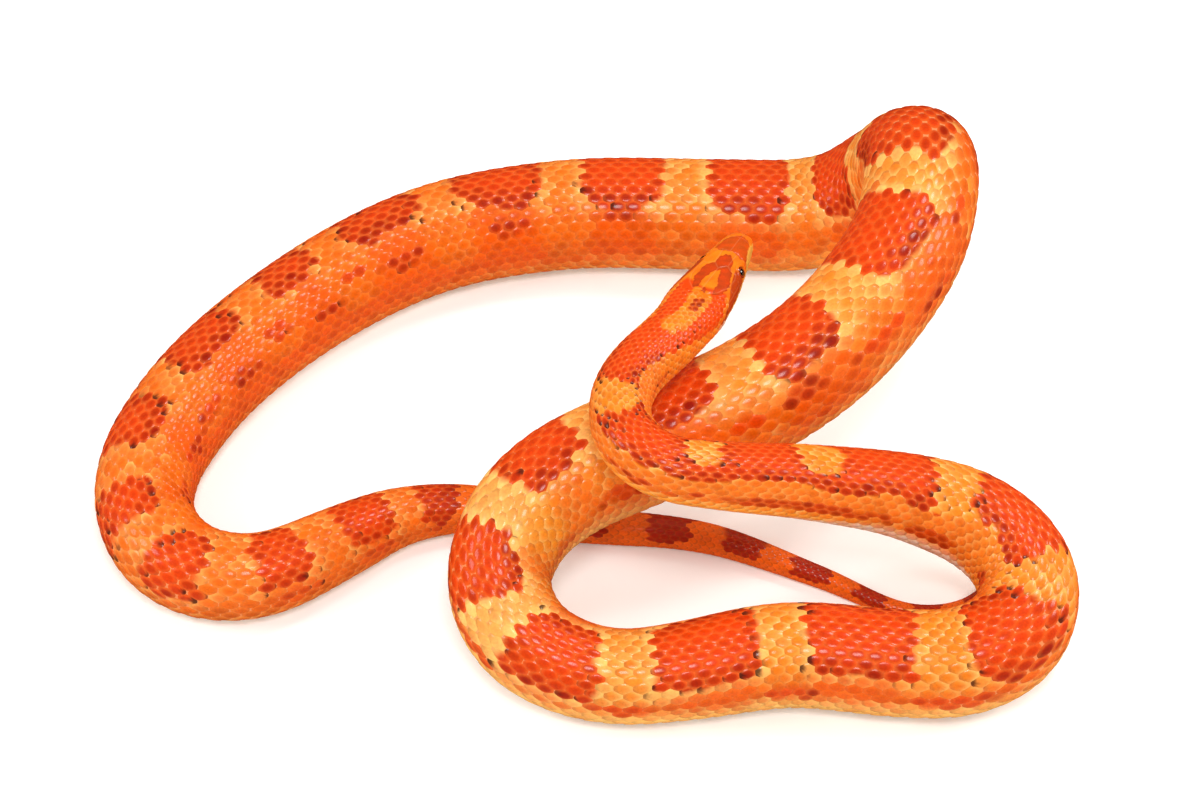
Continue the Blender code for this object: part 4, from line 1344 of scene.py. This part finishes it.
@dataclass
class Coat:
    """Rows of overlapping scales over the body and scutes under it, laid flat first and then wrapped round."""

    body: BodyShape
    markings: Markings
    size_variation: float = 0.05
    turn_variation: float = 0.035
    seed: int = 11
    overlap: float = 0.58           # half length of a scale, as a share of the pitch along its row
    breadth: float = 0.74           # half width of a scale, as a share of the distance between rows
    follow: float = 0.3             # how much the markings run through a scale, from 0, one colour, to 1
    strips: int = 4                 # lengths that the unwrap of the body is cut into
    patch: float = 0.0015           # half size of one scale's patch on that unwrap

    # Pitch of the scales along a row, in mm, by distance from the snout.
    PITCH = [(14, 1.6), (30, 1.75), (55, 2.4), (90, 3.3), (120, 3.8), (160, 4.3), (270, 4.7), (350, 4.3), (420, 4.3),
             (480, 4.75), (530, 4.95), (620, 4.9), (800, 4.5), (900, 4.2), (985, 3.3), (1040, 2.9), (1100, 2.1),
             (1160, 1.4)]
    # Rows of scales round the back and flanks.
    ROWS = [(0, 27), (880, 27), (940, 23), (984, 19), (1040, 15), (1080, 13), (1115, 11), (1140, 9), (1160, 7)]
    # Pieces the coat is made in: name, and where each ends in mm.
    PIECES = [("scales_neck", 185.0), ("scales_front", 400.0), ("scales_thick", 610.0), ("scales_rear", 830.0),
              ("scales_tail", 1200.0)]

    def __post_init__(self) -> None:
        """Count scales along the body, and make the templates and the tree."""
        self.axis = np.arange(10.0, self.body.length + 2.0, 0.25)
        pitch = np.interp(self.axis, *zip(*self.PITCH))
        self.counted = np.concatenate([[0.0], np.cumsum(0.25 / pitch[:-1])])
        self.scatter = ScatterTree("scale_scatter")
        self.scale_shape = ScaleTemplate("scale_template", 2.1, 1.95).build()
        self.scute_shape = ScuteTemplate().build()
        self.scale_finish = KeratinFinish().material()
        self.scute_finish = SCUTE_FINISH.material()

    def spacing(self, at: np.ndarray) -> np.ndarray:
        """Distance between rows, in mm."""
        rows = np.interp(at, *zip(*self.ROWS))
        return 2 * FLANK_SHARE * self.body.value(self.body.half_round, at) / rows

    def spread(self, at: np.ndarray) -> np.ndarray:
        """How much the rows widen from the back to the flank, where the body is thickest."""
        return 0.03 + 0.11 * smoothstep(27.0, 33.0, self.body.value(self.body.width, at))

    def across(self, at: np.ndarray, row: float | np.ndarray) -> np.ndarray:
        """How far round from the middle of the back a row lies, in mm.

        Args:
            at: Distances from the snout.
            row: The row, counted from the back and positive to the snake's left.

        Returns:
            Distances round the body.
        """
        part = np.abs(row) / (np.interp(at, *zip(*self.ROWS)) / 2)
        return row * self.spacing(at) * (1 + self.spread(at) * (part - 1))

    def last_row(self, at: np.ndarray) -> np.ndarray:
        """The lowest row on each flank."""
        return np.floor(np.interp(at, *zip(*self.ROWS)) / 2 - 0.5 + 1e-6)

    def height_factor(self, at: np.ndarray) -> np.ndarray:
        """Heights of scales, as a share of those where the body is thick."""
        return np.clip(self.body.value(self.body.width, at) / 28, 0.18, 1.0)

    def lattice(self) -> tuple[np.ndarray, np.ndarray, np.ndarray]:
        """Roots of the small scales.

        Returns:
            Distances from the snout, shares of the way round, and sizes in mm.
        """
        at, share, size = [], [], []
        first, last = math.ceil(self.counted[0]), math.floor(self.counted[-1])
        for row in range(-17, 18):
            marks = np.arange(first, last) + (0.5 if row % 2 else 0.0)
            s = np.interp(marks, self.counted, self.axis)
            half = self.body.value(self.body.half_round, s)
            v = self.across(s, row) / half
            spacing = np.abs(self.across(s, abs(row) + 0.5) - self.across(s, abs(row) - 0.5))
            low = self.last_row(s)
            start = np.interp(np.abs(v), *zip(*COAT_START))
            pitch = np.interp(s, *zip(*self.PITCH))
            keep = (s > start + 0.15 * pitch) & (s < self.body.length - 1.2) & (np.abs(v) <= 1.0)
            keep &= (abs(row) <= low) | (s < SCUTE_START)
            keep &= ~((row == -17) & (np.abs(v) > 0.97))
            s, v, pitch, spacing = s[keep], v[keep], pitch[keep], spacing[keep]
            stretch = np.maximum(self.body.read(self.body.stretch, s, v)[:, 0], 1.0)
            at.append(s)
            share.append(v)
            size.append(np.stack([
                self.overlap * pitch / stretch ** 0.5, self.breadth * spacing, self.height_factor(s),
            ], axis=1))
        return np.concatenate(at), np.concatenate(share), np.concatenate(size)

    def belly(self) -> tuple[np.ndarray, np.ndarray, np.ndarray]:
        """Roots of the belly scutes.

        Returns:
            Distances from the snout, shares of the way round, and sizes in mm.
        """
        marks = np.arange(math.ceil(np.interp(SCUTE_START, self.axis, self.counted)), self.counted[-1])
        s = np.interp(marks, self.counted, self.axis)
        s = s[s < 984.0]
        half = self.body.value(self.body.half_round, s)
        edge = self.across(s, self.last_row(s) + 0.55)
        pitch = np.interp(s, *zip(*self.PITCH))
        size = np.stack([0.60 * pitch, half - edge, self.height_factor(s)], axis=1)
        return s, np.ones(len(s)), size

    def under_tail(self) -> tuple[np.ndarray, np.ndarray, np.ndarray]:
        """Roots of the paired scutes under the tail.

        Returns:
            Distances from the snout, shares of the way round, and sizes in mm.
        """
        marks = np.arange(math.ceil(np.interp(985.0, self.axis, self.counted)), self.counted[-1], 0.5)
        s = np.interp(marks, self.counted, self.axis)
        keep = s < self.body.length - 1.0
        s = s[keep]
        hand = np.where(np.arange(len(s)) % 2 == 0, 1.0, -1.0)
        half = self.body.value(self.body.half_round, s)
        wide = half - self.across(s, self.last_row(s) + 0.5)
        pitch = np.interp(s, *zip(*self.PITCH))
        size = np.stack([0.62 * pitch, 0.60 * wide, self.height_factor(s)], axis=1)
        return s, hand * (1 - 0.5 * wide / half), size

    def lay(
        self, name: str, at: np.ndarray, share: np.ndarray, size: np.ndarray, scute: bool, seed: int
    ) -> bpy.types.Object:
        """Make one piece of the coat.

        Args:
            name: The piece's name.
            at: Roots' distances from the snout.
            share: Roots' shares of the way round.
            size: Half length, half width and height factor of each.
            scute: Whether these are belly scutes.
            seed: Fixes the variation.

        Returns:
            The piece, wrapped on the body and coloured.
        """
        half = self.body.value(self.body.half_round, at)
        roots = np.stack([at, share * half, np.zeros(len(at))], axis=1)
        vary = 0.01 if scute else self.size_variation
        turn = 0.0 if scute else self.turn_variation
        template = self.scute_shape if scute else self.scale_shape
        finish = self.scute_finish if scute else self.scale_finish
        mesh = self.scatter.run(roots, size, template, finish, vary, turn, seed)
        count = len(mesh.vertices)
        flat = np.empty(count * 3)
        mesh.vertices.foreach_get("co", flat)
        flat = flat.reshape(-1, 3)
        root, rim, tip = np.empty(count, np.int32), np.empty(count), np.empty(count)
        mesh.attributes["root"].data.foreach_get("value", root)
        mesh.attributes["rim"].data.foreach_get("value", rim)
        mesh.attributes["tip"].data.foreach_get("value", tip)

        local = flat - roots[root]
        s = np.clip(flat[:, 0], 0.0, self.body.length)
        v = share[root] + local[:, 1] / self.body.value(self.body.half_round, s)
        past = np.maximum(flat[:, 0] - self.body.length, 0.0)
        points = self.body.wrap(s, v, flat[:, 2]) + past[:, None] * self.body.along[-1]
        mesh.vertices.foreach_set("co", (points * MM).ravel())

        seen_at = at[root] + self.follow * local[:, 0]
        seen_share = share[root] + self.follow * (v - share[root])
        base, specks = self.markings.read(seen_at, seen_share, Zone.COAT, root)
        start = 0.36 + 0.24 * np.sin(1.7 * root) - 0.25 * smoothstep(0.5, 0.9, specks) * (seen_at < 400)
        across = local[:, 1] / size[root, 1] + 0.25 * np.sin(2.3 * root)
        speck = np.clip(1.5 * specks, 0, 0.86) * smoothstep(start, start + 0.32, tip - 0.4 * np.abs(across))
        # Painted shade: each scale's free end darker where it steps down onto the next.
        tip_shade = 1.0 - 0.5 * smoothstep(0.55, 0.85, rim) * smoothstep(-0.1, 0.5, tip)
        tailed = 0.65 * smoothstep(968, 996, seen_at)       # flatter scales with painted shade at their free ends on the tail
        colours = mix(self.shade(base, rim, tip, root, scute), base * tip_shade[:, None], tailed)
        colours = mix(colours, self.markings.colour("speck"), speck)
        layer = mesh.attributes.new("marking", "FLOAT_COLOR", "POINT")
        layer.data.foreach_set("color", np.hstack([colours, np.ones((count, 1))]).astype(np.float32).ravel())
        self.unwrap(mesh, at, share, size, root, local)
        for extra in ("root", "rim", "tip", "size"):
            if extra in mesh.attributes:
                mesh.attributes.remove(mesh.attributes[extra])
        mesh.update()
        mesh.shade_smooth()
        made = bpy.data.objects.new(name, mesh)
        bpy.context.scene.collection.objects.link(made)
        return made

    def shade(
        self, colours: np.ndarray, rim: np.ndarray, tip: np.ndarray, root: np.ndarray, scute: bool
    ) -> np.ndarray:
        """Colours within a scale: the middle of a red scale darker, painted shade towards its free end, and a pale rim
        that is partly the skin's colour and partly painted highlight.

        Args:
            colours: The scale's colour at each point.
            rim: 0 in the middle of a scale and 1 at its edge.
            tip: -1 at its root and 1 at its free end.
            root: Which scale each point is in.
            scute: Whether these are belly scutes.

        Returns:
            The shaded colours.
        """
        if scute:
            return np.clip(colours * (1.02 - 0.10 * smoothstep(0.8, 1.0, rim))[:, None], 0, 1)
        draw = np.random.default_rng(self.seed + 3).uniform(0.5, 1.0, int(root.max()) + 1)[root]
        # Painted shade: each scale a little darker towards its free end.
        light = 1.0 - 0.10 * np.clip(tip, 0, 1) ** 2
        shaded = colours * light[:, None]
        shaded[:, 1] *= 1.04 - 0.14 * draw * (1 - smoothstep(0.2, 0.7, rim))
        redness = smoothstep(0.26, 0.12, colours[:, 1] / np.maximum(colours[:, 0], 1e-3))
        deep = smoothstep(0.80, 0.50, colours[:, 0])
        # A pale net at the rims: partly the skin's own colour, partly painted highlight on the scales' edges.
        pale = mix(self.markings.colour("rim_orange"), self.markings.colour("rim_red"), redness)
        pale = mix(colours, pale, 0.5 + 0.3 * redness) * np.minimum(1.0, colours[:, 0] / 0.55)[:, None]
        shaded *= 1.0 - ((0.10 + 0.26 * deep) * redness * (1 - smoothstep(0.3, 0.7, rim)))[:, None]
        net = (0.30 + redness * (0.26 + 0.40 * deep)) * (0.5 + 0.5 * draw)
        shaded = mix(shaded, pale, smoothstep(0.62, 0.86, rim) * net)
        streak = smoothstep(0.3, -0.4, tip) * smoothstep(0.3, 0.7, rim) * (1 - redness) * 1.4 * (draw - 0.5)
        shaded = mix(shaded, self.markings.colour("gap_pale"), streak)
        # Painted shadow on the edge of the free end, mostly on orange scales, where each steps down onto the next.
        end = 0.36 * smoothstep(0.55, 0.8, rim) * smoothstep(0.25, 0.75, tip) * (1 - 0.6 * redness) * draw
        return np.clip(mix(shaded, self.markings.colour("free_end_shade"), end), 0, 1)

    def unwrap(
        self, mesh: bpy.types.Mesh, at: np.ndarray, share: np.ndarray, size: np.ndarray, root: np.ndarray,
        local: np.ndarray,
    ) -> None:
        """Give each scale a small patch at its root's place on an unwrap of the body in lengths.

        Args:
            mesh: The coat's mesh.
            at: Roots' distances from the snout.
            share: Roots' shares of the way round.
            size: Sizes of the scales.
            root: Which scale each point is in.
            local: Each point's place from its root, in mm.
        """
        length = (self.body.length + 4.0) / self.strips
        strip = np.minimum((at / length).astype(int), self.strips - 1)
        turned = (share + 1.0) % 2.0 - 1.0
        u = 0.01 + 0.98 * (at - strip * length) / length
        v = (strip + 0.5 + 0.46 * turned) / self.strips
        across = local[:, :2] / size[root, :2] * self.patch
        places = np.clip(np.stack([u[root], v[root]], axis=1) + across, 0.0, 1.0)
        corners = np.empty(len(mesh.loops), np.int32)
        mesh.loops.foreach_get("vertex_index", corners)
        layer = mesh.uv_layers.new(name="OFBake")
        layer.data.foreach_set("uv", places[corners].astype(np.float32).ravel())

    def build(self) -> list[bpy.types.Object]:
        """Make every piece of the coat.

        Returns:
            The pieces.
        """
        pieces = []
        at, share, size = self.lattice()
        start = 0.0
        for index, (name, end) in enumerate(self.PIECES):
            here = (at >= start) & (at < end)
            pieces.append(self.lay(name, at[here], share[here], size[here], False, self.seed + index))
            log.info("%s: %d scales, %d faces", name, here.sum(), len(pieces[-1].data.polygons))
            start = end
        pieces.append(self.lay("scutes_belly", *self.belly(), True, self.seed + 20))
        pieces.append(self.lay("scutes_tail", *self.under_tail(), False, self.seed + 21))
        log.info("belly: %d faces", len(pieces[-2].data.polygons) + len(pieces[-1].data.polygons))
        return pieces


@dataclass
class Eyes:
    """Both eyes, each a ball set in its socket with pupil and iris."""

    relief: HeadRelief
    rings: int = 28
    sides: int = 48
    visible: float = 0.80       # share of the ball's radius that shows round its middle

    def build(self, finish: bpy.types.Material) -> list[bpy.types.Object]:
        """Make the eyes.

        Args:
            finish: Their material.

        Returns:
            Left eye, then right.
        """
        made = []
        for name, hand in (("eye_ball_left", 1), ("eye_ball_right", -1)):
            middle, axis = self.relief.eye_axis(hand)
            frame = Vector(axis).to_track_quat("Z", "Y").to_matrix()
            points, gaze = [], []
            for ring in range(self.rings + 1):
                tilt = math.pi * ring / self.rings
                for side in range(self.sides if 0 < ring < self.rings else 1):
                    turn = 2 * math.pi * side / self.sides
                    way = Vector((math.sin(tilt) * math.cos(turn), math.sin(tilt) * math.sin(turn), math.cos(tilt)))
                    points.append(middle + np.array(frame @ way) * EYE_RADIUS)
                    gaze.append(min(math.sin(tilt) / self.visible, 1.0) if tilt < math.pi / 2 else 1.0)
            last = len(points) - 1
            faces = []
            for side in range(self.sides):
                after = (side + 1) % self.sides
                faces.append((0, 1 + side, 1 + after))
                faces.append((last, last - self.sides + after, last - self.sides + side))
            for ring in range(self.rings - 2):
                start = 1 + ring * self.sides
                for side in range(self.sides):
                    after = (side + 1) % self.sides
                    faces.append((start + side, start + self.sides + side, start + self.sides + after, start + after))
            piece = mesh_piece(name, np.array(points), faces)
            piece.data.attributes.new("gaze", "FLOAT", "POINT").data.foreach_set("value", gaze)
            piece.data.materials.append(finish)
            made.append(piece)
        return made


@dataclass
class Studio:
    """Pale floor, soft light and the camera."""

    target: tuple[float, float, float] = (6.4, 19.0, 0.0)
    distance: float = 840.0
    looks_down: float = 50.0
    lens: float = 85.7
    floor_colour: str = "#FAFAF8"

    def build(self) -> None:
        """Set the camera, the lights and the floor."""
        scene = bpy.context.scene
        scene.view_settings.view_transform = "Standard"
        scene.view_settings.look = "None"
        down = math.radians(self.looks_down)
        camera = bpy.data.cameras.new("camera")
        camera.lens = self.lens
        camera.sensor_width = 36.0
        camera.clip_start, camera.clip_end = 0.01, 20.0
        eye = bpy.data.objects.new("camera", camera)
        away = Vector((0.0, -math.cos(down), math.sin(down))) * self.distance
        eye.location = (Vector(self.target) + away) * MM
        eye.rotation_euler = (math.pi / 2 - down, 0.0, 0.0)
        scene.collection.objects.link(eye)
        scene.camera = eye

        world = bpy.data.worlds.new("studio")
        world.use_nodes = True
        background = world.node_tree.nodes["Background"]
        background.inputs["Color"].default_value = (1.0, 0.985, 0.965, 1.0)
        background.inputs["Strength"].default_value = 0.68
        world.cycles_visibility.glossy = False      # only the softboxes shine in the scales
        scene.world = world
        self.softbox("key_light", (0.05, -0.5, 1.15), 0.30, 5.2)
        self.softbox("left_light", (-0.9, -0.1, 0.7), 0.40, 3.6)
        self.softbox("right_light", (0.95, 0.1, 0.6), 0.32, 3.4)
        self.softbox("back_light", (0.45, 0.45, 1.1), 0.24, 3.2)

        mesh = bpy.data.meshes.new("studio_floor")
        reach = 3.0
        mesh.from_pydata([(-reach, -reach, -0.0001), (reach, -reach, -0.0001), (reach, reach, -0.0001),
                          (-reach, reach, -0.0001)], [], [(0, 1, 2, 3)])
        floor = bpy.data.objects.new("studio_floor", mesh)
        paper = bpy.data.materials.new("matt_studio_paper")
        paper.use_nodes = True
        shader = paper.node_tree.nodes["Principled BSDF"]
        shader.inputs["Base Color"].default_value = (*linear(self.floor_colour), 1.0)
        shader.inputs["Roughness"].default_value = 0.9
        shader.inputs["Emission Color"].default_value = (1.0, 1.0, 1.0, 1.0)
        shader.inputs["Emission Strength"].default_value = 0.12     # thin paper, lit a little from behind
        mesh.materials.append(paper)
        scene.collection.objects.link(floor)
        floor.visible_glossy = False

    def softbox(self, name: str, place: tuple[float, float, float], size: float, power: float) -> None:
        """A square area light that faces the snake.

        Args:
            name: Its name.
            place: Where it stands, in metres.
            size: Its side in metres.
            power: Its power in watts.
        """
        data = bpy.data.lights.new(name, "AREA")
        data.size = size
        data.energy = power
        light = bpy.data.objects.new(name, data)
        light.location = place
        aim = Vector(self.target) * MM - Vector(place)
        light.rotation_euler = aim.to_track_quat("-Z", "Y").to_euler()
        bpy.context.scene.collection.objects.link(light)


def main() -> None:
    """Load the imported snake, dress it and set it in the studio."""
    logging.basicConfig(level=logging.INFO, format="%(name)s: %(message)s")
    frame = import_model()
    body = BodyShape()
    log.info("body: %.0f mm long", body.length)
    markings = Markings(body)
    relief = HeadRelief(body)
    log.info("head: %d points along its seams", len(relief.seams))

    skin = Skin(body, markings, relief).build()
    log.info("skin: %d faces", len(skin.data.polygons))
    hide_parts(*[name for name in frame["nodes"] if not name.startswith("eye_")])
    coat = Coat(body, markings).build()
    for piece in [skin, *coat]:
        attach(piece, "root")
    eyes = Eyes(relief).build(EyeFinish().material())
    for piece, node in zip(eyes, ("eye_left", "eye_right")):
        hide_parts(node)
        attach(piece, "root")
    Studio().build()


if __name__ == "__main__":
    main()
